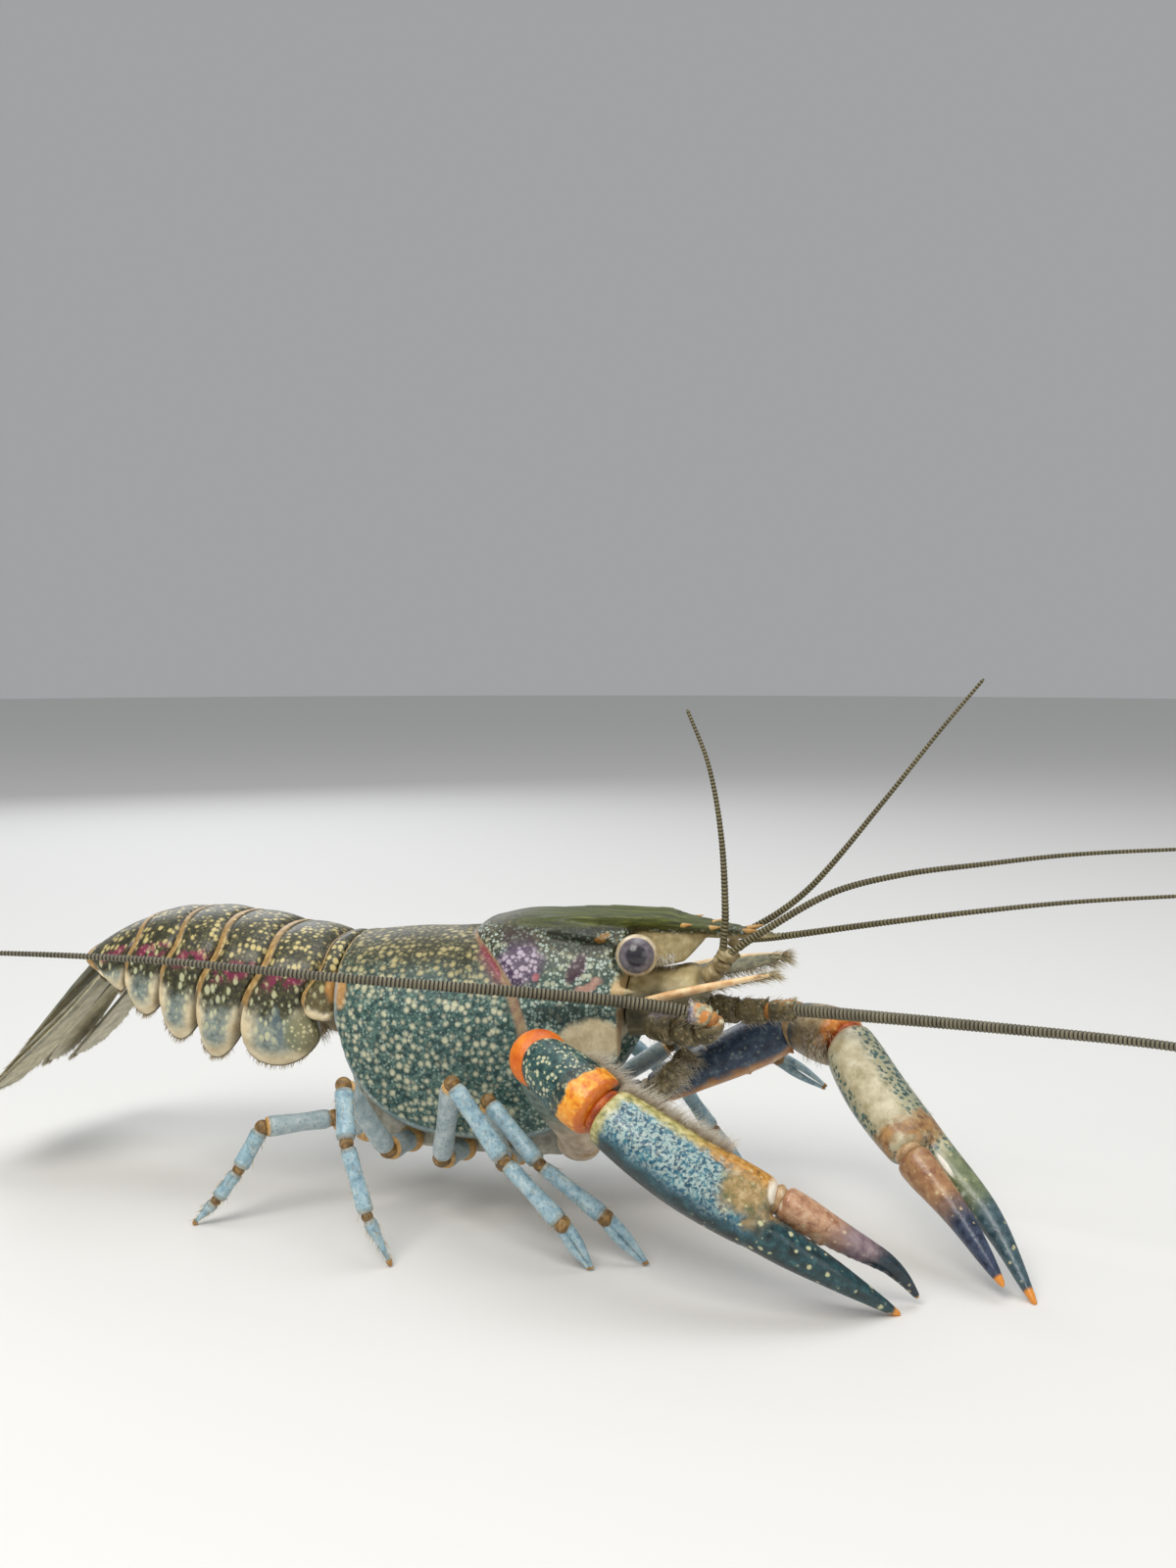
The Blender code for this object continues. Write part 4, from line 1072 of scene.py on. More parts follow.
def makeTailFan():
    top = fanFinish("telson shell", 0.7)
    leaf = fanFinish("tail fan shell", 0.25)
    bm = startMesh()
    addFanPlate(bm, tailSetup["telson"], 1)
    finishPiece("telson", bm, [top], ["telson"])
    for side, sign in sides.items():
        for which in ("inner", "outer"):
            bm = startMesh()
            addFanPlate(bm, tailSetup[which], sign)
            finishPiece(f"uropod_{which}_{side}", bm, [leaf], [f"uropod_{side}_{which}"])


makeTailFan()
print("tail fan made")


# Thorax floor and the front of the head

trunkSetup = {
    "sternumFront": 37.4,
    "sternumLow": ((0, 20.5), (1.5, 14.0), (4, 9.4), (10, 8.2), (24, 8.0), (33, 8.6), (37.4, 11.5)),
    "sternumSide": ((0, 6.9), (6, 6.6), (26, 6.6), (31, 5.9), (37.4, 4.4)),
    "legRoots": (3.2, 10.0, 18.0, 26.0, 33.6),
    # x, z, half width, half height
    "epistome": (
        (41.3, 30.6, 6.6, 5.0), (43, 30.8, 6.4, 4.8), (46, 31.4, 5.6, 4.3), (48.5, 32.7, 4.7, 3.6),
        (50.2, 33.9, 3.9, 2.9), (51.0, 34.4, 3.4, 2.6),
    ),
}


def softFinish(name, dark, middle, light, size=1.4, roughness=0.45, depth=0.15, spots=None):
    finish, shader, spot = newFinish(name, roughness=roughness, depth=depth)
    base = tones(spot, size, 4, dark, middle, light, at=(0.28, 0.52, 0.78), rough=0.6)
    if spots:
        base = mixed(product(spotted(spot, 0.9, 0.24), 0.6), base, spots)
    paintOn(shader, base, cloudy(spot, 0.5, 4), 0.12)
    return finish


def makeTrunk():
    setup = trunkSetup
    belly = softFinish("underside skin", (120, 116, 100), (172, 170, 156), (206, 204, 192))
    bm = startMesh()
    rings = []
    for i in range(60):
        x = setup["sternumFront"] * i / 59
        low = valueAt(setup["sternumLow"], x)
        ceiling = recessCeiling(x) - gap * 1.5
        half = valueAt(setup["sternumSide"], x)
        fold = 0.5 * max(exp(-(((x - root - 3.9) / 0.7) ** 2)) for root in setup["legRoots"])
        outline = (
            (half * 0.2, low + 0.5 + fold), (half * 0.45, low + 0.15 + fold), (half * 0.75, low + 0.3 + fold),
            (half * 0.93, low + 0.8), (half, low + 1.7), (half, (low + ceiling) / 2), (half, ceiling - 0.7),
            (half - 0.25, ceiling - 0.2), (half - 0.7, ceiling),
        )
        spots = [place(x, y, z) for y, z in outline] + [place(x, -y, z) for y, z in outline[::-1]]
        rings.append(plainRing(x, spots))
    addLoft(bm, rings)
    finishPiece("sternum", bm, [belly], ["sternum"], smoothing=1)

    tone, shader, spot = newFinish("mouth frame shell", roughness=0.45, depth=0.15)
    lift = calc("ADD", parts(spot)[2], cloudy(spot, 1.5))
    olive = tones(spot, 1.4, 4, (58, 54, 36), (98, 92, 66), (140, 136, 108))
    pale = tones(spot, 1.4, 4, (168, 152, 108), (212, 196, 150))
    paintOn(shader, mixed(between(lift, 32.8, 34.6), olive, pale), cloudy(spot, 0.5, 4), 0.1)
    bm = startMesh()
    keys = [(place(x, 0, z), width, height) for x, z, width, height in setup["epistome"]]
    addLoft(bm, sweep(keys, 26, 40, aims={0: forward, -1: forward}, domes=(0, 1.2)))
    finishPiece("epistome", bm, [tone], ["epistome"])


makeTrunk()
print("trunk made")


# Walking legs: root, end of ischium, knee, end of carpus, end of palm, tip

legSetup = {
    "r": {
        2: (
            (26.0, -6.95, 9.6), (25.4, -12.0, 9.4), (25.0, -17.4, 19.6), (33.0, -20.0, 12.4),
            (42.0, -20.3, 6.2), (47.4, -19.6, 0.1),
        ),
        3: (
            (18.0, -6.95, 9.6), (16.6, -12.8, 9.6), (21.0, -20.5, 22.6), (28.8, -22.2, 13.2),
            (37.2, -24.0, 6.2), (40.8, -23.0, 0.1),
        ),
        4: (
            (10.0, -6.9, 10.2), (8.6, -12.8, 10.2), (6.5, -23.0, 22.0), (8.6, -27.0, 15.4),
            (12.0, -28.4, 6.4), (15.3, -28.4, 0.1),
        ),
        5: (
            (3.2, -7.1, 11.2), (-0.4, -10.8, 13.4), (-8.3, -17.6, 13.4), (-11.2, -19.2, 7.6),
            (-14.0, -20.6, 3.4), (-17.0, -21.8, 0.1),
        ),
    },
    "l": {
        2: (
            (26.0, 6.95, 9.6), (28.0, 12.0, 10.4), (43.0, 15.2, 20.4), (50.6, 16.6, 21.4),
            (59.2, 17.2, 19.0), (66.4, 16.4, 15.2),
        ),
        3: (
            (18.0, 6.95, 9.6), (20.0, 12.8, 9.8), (35.0, 20.0, 19.6), (44.5, 18.0, 13.3), (49.4, 17.0, 7.0),
            (55.4, 16.4, 0.1),
        ),
        4: (
            (10.0, 6.9, 10.2), (9.6, 12.8, 10.2), (13.6, 23.4, 22.4), (18.0, 27.0, 15.4), (23.4, 28.4, 6.6),
            (27.4, 28.2, 0.1),
        ),
        5: (
            (3.2, 7.1, 11.2), (-0.4, 10.8, 13.0), (-6.6, 19.0, 15.4), (-8.8, 22.2, 9.6), (-11.0, 24.6, 4.4),
            (-13.6, 26.4, 0.1),
        ),
    },
    "radii": {
        2: (1.6, 1.55, 1.35, 1.15, 1.15, 0.5), 3: (1.75, 1.65, 1.4, 1.2, 1.2, 0.5),
        4: (1.75, 1.65, 1.4, 1.2, 1.0, 0.45), 5: (1.65, 1.55, 1.35, 1.1, 0.95, 0.45),
    },
    "profile": ((0.0, 0.7), (0.1, 0.9), (0.42, 0.88), (0.8, 1.04), (0.93, 1.06), (1.0, 0.9)),
    "tipProfile": ((0.0, 0.8), (0.12, 0.98), (0.45, 0.8), (0.78, 0.52), (1.0, 0.3)),
    "pincers": (2, 3),
}


def addSegment(bm, a, b, radii, profile, upward, points=18):
    keys = []
    for t, scale in profile:
        size = (radii[0] + (radii[1] - radii[0]) * t) * scale
        keys.append((a.lerp(b, t), size, size))
    rings = sweep(keys, 20, points, upward, domes=(0.5 * keys[0][1], 0.4 * keys[-1][1]))
    for ring in rings:
        ring["along"] = min(ring["along"], marksOf((a, b))[-1] - ring["along"])
    addLoft(bm, rings)
    return rings


def legFinish(name, pallor, ringTones, ringShare):
    finish, shader, spot = newFinish(name, roughness=0.4, coat=0.1, depth=0.15)
    blue = tones(
        spot, 1.3, 4, (112, 144, 160), (150, 180, 192), (196, 212, 212), at=(0.3, 0.5, 0.78), rough=0.6,
    )
    grey = tones(spot, 1.8, 3, (146, 156, 158), (204, 206, 198))
    gold = tones(spot, 0.7, 3, *ringTones)
    ends = mark(spot, "along")
    base = layered(
        mixed(pallor, blue, grey),
        (spotted(spot, 0.5, 0.14, soft=0.6), 0.4, (76, 108, 132)),
        (spotted(spot, 1.1, 0.2), 0.3, (214, 220, 206)),
        (between(ends, 0.75, 0.35), ringShare, gold),
        (between(ends, 0.5, 0.65), between(ends, 0.95, 0.75), 0.3, (110, 96, 62)),
    )
    paintOn(shader, base, pitted(spot, 0.5), 0.04)
    return finish


def makeLegs():
    shells = {
        "upper": legFinish("leg shell above", 0.55, ((170, 116, 40), (222, 176, 96)), 0.9),
        "lower": legFinish("leg shell below", 0.0, ((128, 104, 66), (170, 148, 106)), 0.55),
    }
    jointSkin = softFinish("leg joint skin", (70, 54, 32), (128, 98, 56), (182, 148, 92), 0.9, 0.45)
    horn = softFinish("leg tip horn", (120, 80, 34), (176, 130, 66), (206, 170, 108), 0.8, 0.35)
    for side, sign in sides.items():
        for number in (2, 3, 4, 5):
            joints = [placed(spot) for spot in legSetup[side][number]]
            radii = legSetup["radii"][number]
            for half, span in (("upper", range(0, 2)), ("lower", range(2, 5))):
                bm = startMesh()
                for k in span:
                    a, b = joints[k], joints[k + 1]
                    last = k == 4
                    lap = (b - a).normalized() * gap * mm
                    profile = legSetup["tipProfile"] if last else legSetup["profile"]
                    upward = Vector((1, 0, 0.2))
                    if last and number in legSetup["pincers"]:
                        apart = (b - a).normalized().cross(Vector((0, 1, 0))).normalized() * 0.6 * mm
                        for way in (-1, 1):
                            bend = a.lerp(b, 0.45) + apart * way * 1.05
                            end = b + apart * way * 0.35
                            if end.z < 0.15 * mm:
                                end.z = 0.15 * mm
                            keys = [(a + apart * way * 0.6, 0.78, 0.78), (bend, 0.56, 0.56), (end, 0.2, 0.2)]
                            addLoft(bm, sweep(keys, 16, 14, upward, domes=(0.3, 0.15)))
                            tipKeys = [(bend.lerp(end, 0.88), 0.27, 0.27), (end, 0.2, 0.2)]
                            addLoft(bm, sweep(tipKeys, 6, 12, upward, domes=(0, 0.18)), 2)
                    else:
                        rings = addSegment(
                            bm, a + lap, b - lap * (0 if last else 1), radii[k:k + 2], profile, upward,
                        )
                        if k > 1:
                            skinRings[f"leg{number}{side}{k}"] = rings
                        if last:
                            keys = [(a.lerp(b, 0.88), radii[4] * 0.47, radii[4] * 0.47), (b, 0.24, 0.24)]
                            addLoft(bm, sweep(keys, 8, 12, upward, domes=(0, 0.2)), 2)
                    size = radii[k + 1] * 0.8
                    if not last:
                        addBall(bm, b, (size, size, size), 1, 16, 10)
                if half == "lower" and number in legSetup["pincers"]:
                    addBall(bm, joints[4], (1.15, 1.15, 1.15), 1, 16, 12)
                if half == "upper":
                    addBall(bm, joints[0] + Vector((0, 0.6 * sign, 0)) * mm, (1.9, 1.3, 1.9), 0, 18, 12)
                nodes = [f"leg_{number}_{side}_{half}"]
                finishPiece(f"leg{number}_{half}_{side}", bm, [shells[half], jointSkin, horn], nodes)


makeLegs()
print("legs made")


# Claw arms: joints from the body out, the palm's middle, and both fingers' middles and tips

clawSetup = {
    "r": {
        "root": (33.6, -6.1, 11.6), "ischium": (37.0, -11.6, 13.2), "elbow": (34.0, -23.4, 27.6),
        "wrist": (43.8, -28.4, 22.8), "palm": (54.6, -30.0, 16.8), "hinge": (64.2, -30.2, 12.3),
        "outward": (-0.33, -0.70, -0.64), "finger": ((72.7, -30.3, 5.7), (80.4, -26.3, -0.1)),
        "dactyl": ((74.1, -26.2, 8.4), (79.3, -24.3, 4.9), (82.3, -23.2, 0.95)),
    },
    "l": {
        "root": (34.0, 6.05, 11.6), "ischium": (41.0, 9.8, 14.6), "elbow": (62.4, 12.4, 25.4),
        "wrist": (70.2, 7.0, 24.8), "palm": (75.0, 0.2, 19.6), "hinge": (81.3, -6.6, 14.2),
        "outward": (0.61, 0.79, -0.1), "finger": ((90.4, -11.6, 7.6), (96.2, -19.2, -0.1)),
        "dactyl": ((86.8, -14.2, 8.2), (92.4, -19.7, 2.0)),
    },
    # share of the segment, half width, half height
    "base": ((0, 2.3, 2.3), (0.35, 2.7, 2.7), (0.7, 2.65, 2.65), (1, 2.3, 2.3)),
    "merus": (
        (0.0, 2.2, 2.2), (0.12, 2.8, 2.7), (0.35, 3.3, 3.1), (0.58, 3.8, 3.5), (0.77, 3.9, 3.6),
        (1.0, 3.3, 3.2),
    ),
    "carpus": (
        (0.0, 3.3, 3.2), (0.15, 3.8, 3.6), (0.36, 4.15, 3.95), (0.58, 4.5, 4.15), (0.85, 4.4, 4.1),
        (1.0, 3.9, 3.7),
    ),
    "palmSizes": ((3.7, 3.4), (4.2, 3.7), (4.5, 3.8), (4.7, 3.8), (4.8, 3.7), (4.8, 3.5), (4.6, 3.2)),
    "fingerSizes": (
        (2.5, 3.0), (2.35, 2.8), (2.3, 2.5), (2.1, 2.2), (1.8, 1.9), (1.5, 1.55), (1.15, 1.2), (0.8, 0.85),
        (0.34, 0.38),
    ),
    "dactylSizes": (
        (2.3, 2.65), (2.2, 2.5), (1.95, 2.2), (1.75, 1.9), (1.5, 1.6), (1.2, 1.3), (0.85, 0.9), (0.34, 0.38),
    ),
    # share of the segment, turn about it in degrees, length, radius
    "merusSpikes": (
        (0.9, 80, 1.0, 0.55), (0.66, 92, 0.7, 0.45), (0.86, -60, 0.9, 0.5), (0.6, -70, 0.7, 0.45),
        (0.9, -120, 0.9, 0.5),
    ),
    "teeth": 13,
    "grain": 0.25,
}


def jointTurn(a, b, c):
    return ((b - a).normalized() + (c - b).normalized()).normalized()


def curveSpots(spots, count):
    marks = marksOf(spots)
    rows = list(zip(marks, spots))
    return [vectorAt(rows, marks[-1] * i / (count - 1)) for i in range(count)]


def chart(bm, rings):  # marks each point with its place along, across and over the nearest ring
    layers = [bm.verts.layers.float[key] for key in surfaceMarks]
    near = KDTree(len(rings))
    for i, ring in enumerate(rings):
        near.insert(ring["centre"], i)
    near.balance()
    for vert in bm.verts:
        ring = rings[near.find(vert.co)[1]]
        away = vert.co - ring["centre"]
        across, over, width, height = ring["frame"]
        vert[layers[0]] = ring["along"] + away.dot(ring["ahead"]) / mm
        vert[layers[1]] = away.dot(across) / width
        vert[layers[2]] = away.dot(over) / height
        vert.co.z = max(vert.co.z, 0.0)


def addTeeth(bm, rings, way, first, last):
    count = clawSetup["teeth"]
    for k in range(count):
        ring = rings[round(first + (last - first) * k / (count - 1))]
        across, over, width, height = ring["frame"]
        size = (0.62 if k == 3 else 0.44) * (1.15 - 0.6 * k / count)
        addBall(bm, ring["centre"] + across * way * width * 0.93, (size, size, size), 0, 10, 8)


def spikesOn(bm, rings, row):  # each spike: ring share, turn about the segment in degrees, length, radius
    for share, turn, length, radius in row:
        ring = rings[round(share * (len(rings) - 1))]
        across, over, width, height = ring["frame"]
        out = across * cos(radians(turn)) * width + over * sin(radians(turn)) * height
        root = ring["centre"] + out * 0.86
        addSpike(
            bm, root,
            ring["centre"] + out * 0.96 + (out.normalized() * 0.8 + ring["ahead"] * 0.7) * length * mm,
            radius,
        )


def armFinish(name, build, roughness=0.38):
    finish, shader, spot = newFinish(name, roughness=roughness, coat=0.2, depth=0.06)
    marks = [mark(spot, key) for key in surfaceMarks]
    base = build(spot, *marks)
    paintOn(shader, base, pitted(spot, 0.6), 0.06)
    return finish


def nearHand(spot, along, across, over):
    side = calc("SUBTRACT", product(across, 0.92), product(over, 0.38))
    rim = ragged(side, spot, 1.0, 0.35)
    side = ragged(side, spot, 2.0, 0.6)
    reach = ragged(along, spot, 2.6, 5.0)
    cobalt = tones(spot, 1.0, 5, (6, 42, 60), (24, 84, 108), (84, 142, 152), at=(0.3, 0.5, 0.72), rough=0.65)
    deep = tones(spot, 1.1, 4, (8, 30, 30), (26, 64, 70), (62, 106, 106), at=(0.3, 0.55, 0.8), rough=0.6)
    marbling = between(cloudy(wobbled(spot, 0.7, 0.6), 0.46, 4, 0.6), 0.42, 0.6)
    marbled = product(between(side, 0.7, 0.2), between(reach, 23, 18))
    dots = spotted(spot, 1.15, 0.19, soft=0.7, vary=0.8)
    yellow = tones(spot, 0.8, 4, (104, 104, 50), (178, 168, 100), (228, 218, 172), at=(0.3, 0.5, 0.78))
    warm = tones(spot, 1.1, 4, (98, 100, 62), (160, 134, 88), (210, 186, 146))
    amber = tones(spot, 0.8, 4, (120, 84, 24), (190, 132, 50), (222, 180, 104), at=(0.3, 0.5, 0.78))
    return layered(
        cobalt,
        (between(side, 0.35, 0.8), deep),
        (marbling, marbled, 0.66, (196, 212, 200)),
        (between(reach, 19, 25), deep),
        (between(reach, 15.5, 18), between(reach, 25, 21), between(side, 0.45, -0.1), warm),
        (between(side, 0.7, 0.95), between(along, 34, 26), (10, 28, 26)),
        (between(rim, -0.62, -0.86), between(along, 26, 22), mixed(between(reach, 9, 17), yellow, amber)),
        (dots, between(reach, 13, 20), 0.85, (206, 204, 160)),
        (between(ragged(along, spot, 1.2, 1.4), 2.3, 1.2), 0.9, yellow),
        (between(along, 0.7, 0.15), (190, 96, 22)),
        # painted highlight: a narrow near-white stripe at the finger joint
        (patch(spot, (65.6, 14.8), (0.55, 1.6), -20), between(over, -0.3, 0.1), (240, 230, 210)),
        (between(along, 42.2, 42.9), (226, 146, 52)),
    )


def farHand(spot, along, across, over):
    edge = calc("SUBTRACT", product(across, 0.585), product(over, 0.81))
    edge = calc("ABSOLUTE", ragged(edge, spot, 2.4, 0.3))
    reach = ragged(along, spot, 3.0, 6.0)
    beige = tones(spot, 1.8, 4, (162, 150, 114), (200, 190, 158), (224, 218, 192), at=(0.3, 0.55, 0.8))
    scaly = newNode("ShaderNodeTexVoronoi", spot)
    plug(scaly.inputs["Vector"], wobbled(spot, 1.2, 0.8))
    scaly.inputs["Scale"].default_value = 1.25
    chevrons = between(scaly.outputs["Distance"], 0.52, 0.36)
    teal = tones(spot, 1.0, 3, (26, 54, 54), (72, 110, 106))
    tip = tones(spot, 1.2, 3, (34, 56, 66), (82, 106, 112))
    green = tones(spot, 1.4, 4, (84, 96, 66), (134, 142, 106))
    brown = tones(spot, 1.0, 3, (120, 76, 34), (190, 138, 78))
    return layered(
        beige,
        (between(edge, 0.45, 0.95), 0.6, (134, 146, 118)),
        (chevrons, between(edge, 0.42, 0.72), teal),
        (between(reach, 20, 25), green),
        (between(reach, 27, 33), tip),
        (between(reach, 16.5, 18), between(reach, 21, 19), 0.85, brown),
        (spotted(spot, 1.1, 0.16, soft=0.6), between(along, 18, 22), 0.8, (206, 196, 150)),
        (between(along, 1.6, 0.5), 0.8, brown),
        # painted highlight: a narrow near-white stripe at the finger joint
        (patch(spot, (84.6, 13.3), (0.35, 1.6), -45), between(over, 0.2, -0.2), (236, 232, 220)),
        (between(along, 42.2, 42.8), (220, 140, 52)),
    )


def nearFinger(spot, along, across, over):
    reach = ragged(along, spot, 2.2, 5.0)
    salmon = tones(spot, 1.1, 4, (150, 104, 76), (194, 150, 116), (216, 188, 160), at=(0.3, 0.55, 0.8))
    purple = tones(spot, 1.2, 4, (96, 76, 88), (158, 138, 142))
    navy = tones(spot, 1.0, 3, (10, 26, 34), (32, 56, 66))
    return layered(
        salmon,
        (between(reach, 5, 11), purple),
        (between(reach, 11.5, 14.5), navy),
        (spotted(spot, 1.1, 0.16, soft=0.6), 0.55, (220, 200, 166)),
        # painted highlight: the same narrow near-white stripe at the finger joint
        (patch(spot, (65.6, 14.8), (0.55, 1.6), -20), (240, 230, 210)),
        (between(along, 21.0, 21.6), (214, 150, 62)),
    )


def farFinger(spot, along, across, over):
    reach = ragged(along, spot, 2.2, 4.0)
    brown = tones(spot, 1.2, 4, (126, 80, 54), (164, 122, 84), (194, 162, 120), at=(0.3, 0.55, 0.8))
    navy = tones(spot, 1.0, 3, (26, 36, 56), (68, 80, 104))
    return layered(
        brown,
        (between(reach, 6, 11.5), navy),
        (spotted(spot, 1.0, 0.14, soft=0.6), 0.7, (212, 192, 148)),
        (between(along, 18.6, 19.1), (220, 140, 52)),
    )


def nearCarpus(spot, along, across, over):
    reach = ragged(along, spot, 1.5, 2.4)
    teal = tones(spot, 0.9, 5, (12, 36, 36), (38, 74, 74), (98, 128, 112), at=(0.3, 0.5, 0.75), rough=0.65)
    cream = tones(spot, 0.8, 3, (186, 160, 86), (232, 214, 156))
    orange = tones(spot, 1.0, 4, (208, 102, 8), (238, 150, 28), (250, 194, 84), at=(0.3, 0.5, 0.75))
    top = ragged(product(across, -1), spot, 1.6, 0.6)
    # painted shade: the dark inside of a notch that the mesh does not have
    notch = patch(wobbled(spot, 1.0, 0.8), (44.3, 24.6), (1.9, 0.75), -35)
    return layered(
        teal,
        (between(top, 0.35, 0.8), 0.8, cream),
        (spotted(spot, 0.56, 0.16, soft=0.5, vary=0.9), 0.8, (214, 212, 172)),
        (between(reach, 1.7, 0.8), between(top, -0.2, 0.4), cream),
        (between(reach, 6.4, 7.2), between(reach, 8.4, 7.4), 0.7, (18, 30, 24)),
        (between(reach, 7.9, 8.5), orange),
        (between(reach, 10.4, 10.9), between(reach, 11.9, 11.4), 0.8, (186, 84, 8)),
        # painted shade of the notch
        (notch, between(across, 0.4, -0.1), (28, 18, 8)),
        (between(along, 0.7, 0.2), (232, 128, 28)),
    )


def nearMerus(spot, along, across, over):
    top = ragged(over, spot, 2.6, 0.8)
    navy = tones(spot, 1.3, 4, (26, 38, 58), (58, 76, 98), (112, 128, 138), at=(0.3, 0.55, 0.8), rough=0.6)
    brown = tones(spot, 1.6, 4, (150, 94, 40), (190, 134, 72), (210, 178, 130), at=(0.3, 0.6, 0.85))
    return layered(
        brown, (between(top, -0.75, -0.3), navy), (spotted(spot, 0.9, 0.16, soft=0.7), 0.3, (184, 190, 176)),
    )


def paleMerus(spot, along, across, over):
    tan = tones(spot, 1.6, 4, (164, 140, 116), (206, 186, 160), (222, 210, 190), at=(0.3, 0.6, 0.85))
    dusk = tones(spot, 1.3, 4, (52, 72, 66), (124, 136, 122), rough=0.6)
    return mixed(between(ragged(along, spot, 2.0, 4.0), 5.0, 11.0), tan, dusk)


def farCarpus(spot, along, across, over):
    tan = tones(spot, 1.2, 4, (128, 106, 74), (178, 158, 122), (210, 194, 160), at=(0.3, 0.6, 0.85))
    orange = tones(spot, 0.9, 4, (196, 108, 34), (232, 160, 74))
    band = between(ragged(along, spot, 1.4, 1.6), 7.0, 8.4)
    return layered(
        tan,
        (between(ragged(along, spot, 1.8, 2.4), 4.0, 1.5), 0.8, (74, 86, 98)),
        (spotted(spot, 0.8, 0.2, soft=0.6), 0.4, (96, 104, 98)),
        (band, between(ragged(over, spot, 1.4, 0.5), -0.3, 0.3), orange),
    )


def solidPiece(bm, rings, name, finishes, nodes):
    even = regrained(bm, clawSetup["grain"])
    chart(even, rings)
    finishPiece(name, even, finishes, nodes)


def makeClawArm(side):
    arm = clawSetup[side]
    sign = sides[side]
    near = side == "r"
    root, ischium, elbow, wrist, palm, hinge = (
        placed(arm[key]) for key in ("root", "ischium", "elbow", "wrist", "palm", "hinge")
    )
    lap = gap * 0.5 * mm
    atIschium = jointTurn(root, ischium, elbow)
    atElbow = jointTurn(ischium, elbow, wrist)
    atWrist = jointTurn(elbow, wrist, palm)
    orange = softFinish(f"orange joint skin {side}", (196, 84, 8), (224, 116, 22), (244, 152, 48), 2.2, 0.35)
    rust = softFinish(f"wrist skin {side}", (112, 42, 4), (158, 68, 8), (204, 108, 28), 1.2, 0.4)
    tan = softFinish(f"finger joint skin {side}", (150, 112, 72), (190, 158, 118), (220, 204, 176), 1.0, 0.35)
    merusSkin = armFinish(f"claw arm upper shell {side}", paleMerus if near else nearMerus)

    out = Vector((0, sign, 0))
    bm = startMesh()
    end = ischium - atIschium * lap
    keys = [(root.lerp(end, t), width, height) for t, width, height in clawSetup["base"]]
    rings = sweep(keys, 20, 24, aims={0: out, -1: atIschium}, domes=(0, 0.9))
    addLoft(bm, rings)
    addBall(bm, ischium, (2.0, 2.0, 2.0), 1)
    finishPiece(f"clawArm_base_{side}", bm, [merusSkin, tan], [f"cheliped_{side}_base"])

    bm = startMesh()
    start, end = ischium + atIschium * lap, elbow - atElbow * lap
    keys = [(start.lerp(end, t), width, height) for t, width, height in clawSetup["merus"]]
    rings = sweep(keys, 34, 36, aims={0: atIschium, -1: atElbow}, domes=(0.9, 1.2))
    addLoft(bm, rings)
    spikesOn(bm, rings, clawSetup["merusSpikes"])
    solidPiece(bm, rings, f"clawArm_merus_{side}", [merusSkin], [f"cheliped_{side}_merus"])

    bm = startMesh()
    start, end = elbow + atElbow * lap, wrist - atWrist * lap
    keys = [(start.lerp(end, t), width, height) for t, width, height in clawSetup["carpus"]]
    rings = sweep(keys, 30, 40, aims={0: atElbow, -1: atWrist}, domes=(1.0, 0.8))
    addLoft(bm, rings)
    inner = 180 if near else 0
    spikesOn(bm, rings, ((0.72, inner, 1.3, 0.75), (0.9, inner + 40, 0.8, 0.5), (0.84, 270, 0.8, 0.5)))
    carpusSkin = armFinish(f"claw arm elbow shell {side}", nearCarpus if near else farCarpus)
    solidPiece(bm, rings, f"clawArm_carpus_{side}", [carpusSkin], [f"cheliped_{side}_carpus"])
    skinRings[f"carpus_{side}"] = rings
    bm = startMesh()
    swell = 1.06 if near else 0.97
    addBall(bm, elbow, (3.75 * swell, 3.6 * swell, 2.6), 0, 32, 20, atElbow)
    addBall(bm, wrist, (3.2, 3.0, 1.5), 1, 32, 20, atWrist)
    finishPiece(f"clawArm_jointSkin_{side}", bm, [orange if near else tan, rust])

    outward = Vector(arm["outward"])
    ahead = (hinge - palm).normalized()
    outward = (outward - ahead * outward.dot(ahead)).normalized()
    over = outward.cross(ahead)
    fingerRoot = hinge + (outward * 2.2 + ahead * 1.0) * mm
    dactylRoot = hinge + (outward * -2.5 + ahead * 1.35) * mm
    bm = startMesh()
    palmSpots = curveSpots((wrist + atWrist * lap, palm, hinge + ahead * 0.7 * mm), 7)
    keys = [(spot, *size) for spot, size in zip(palmSpots, clawSetup["palmSizes"])]
    palmRings = sweep(keys, 44, 44, over, aims={0: atWrist, -1: ahead}, domes=(0.7, 1.4), square=0.94)
    addLoft(bm, palmRings)
    fingerSpots = [fingerRoot - ahead * 4.5 * mm + outward * -0.1 * mm]
    fingerSpots += curveSpots([fingerRoot] + [placed(spot) for spot in arm["finger"]], 8)
    keys = [(spot, *size) for spot, size in zip(fingerSpots, clawSetup["fingerSizes"])]
    fingerRings = sweep(keys, 44, 32, over, aims={0: ahead, 1: ahead}, domes=(0, 0.5))
    addLoft(bm, fingerRings)
    addTeeth(bm, fingerRings, -1, 12, 38)
    palmLength = palmRings[-1]["along"]
    skinRings[f"palm_{side}"] = palmRings
    for ring in fingerRings:
        ring["along"] += palmLength - 4.2
    handSkin = armFinish(f"claw shell {side}", nearHand if near else farHand, 0.32)
    solidPiece(
        bm, palmRings + fingerRings[8:], f"claw_palm_{side}", [handSkin], [f"cheliped_{side}_propodus"],
    )

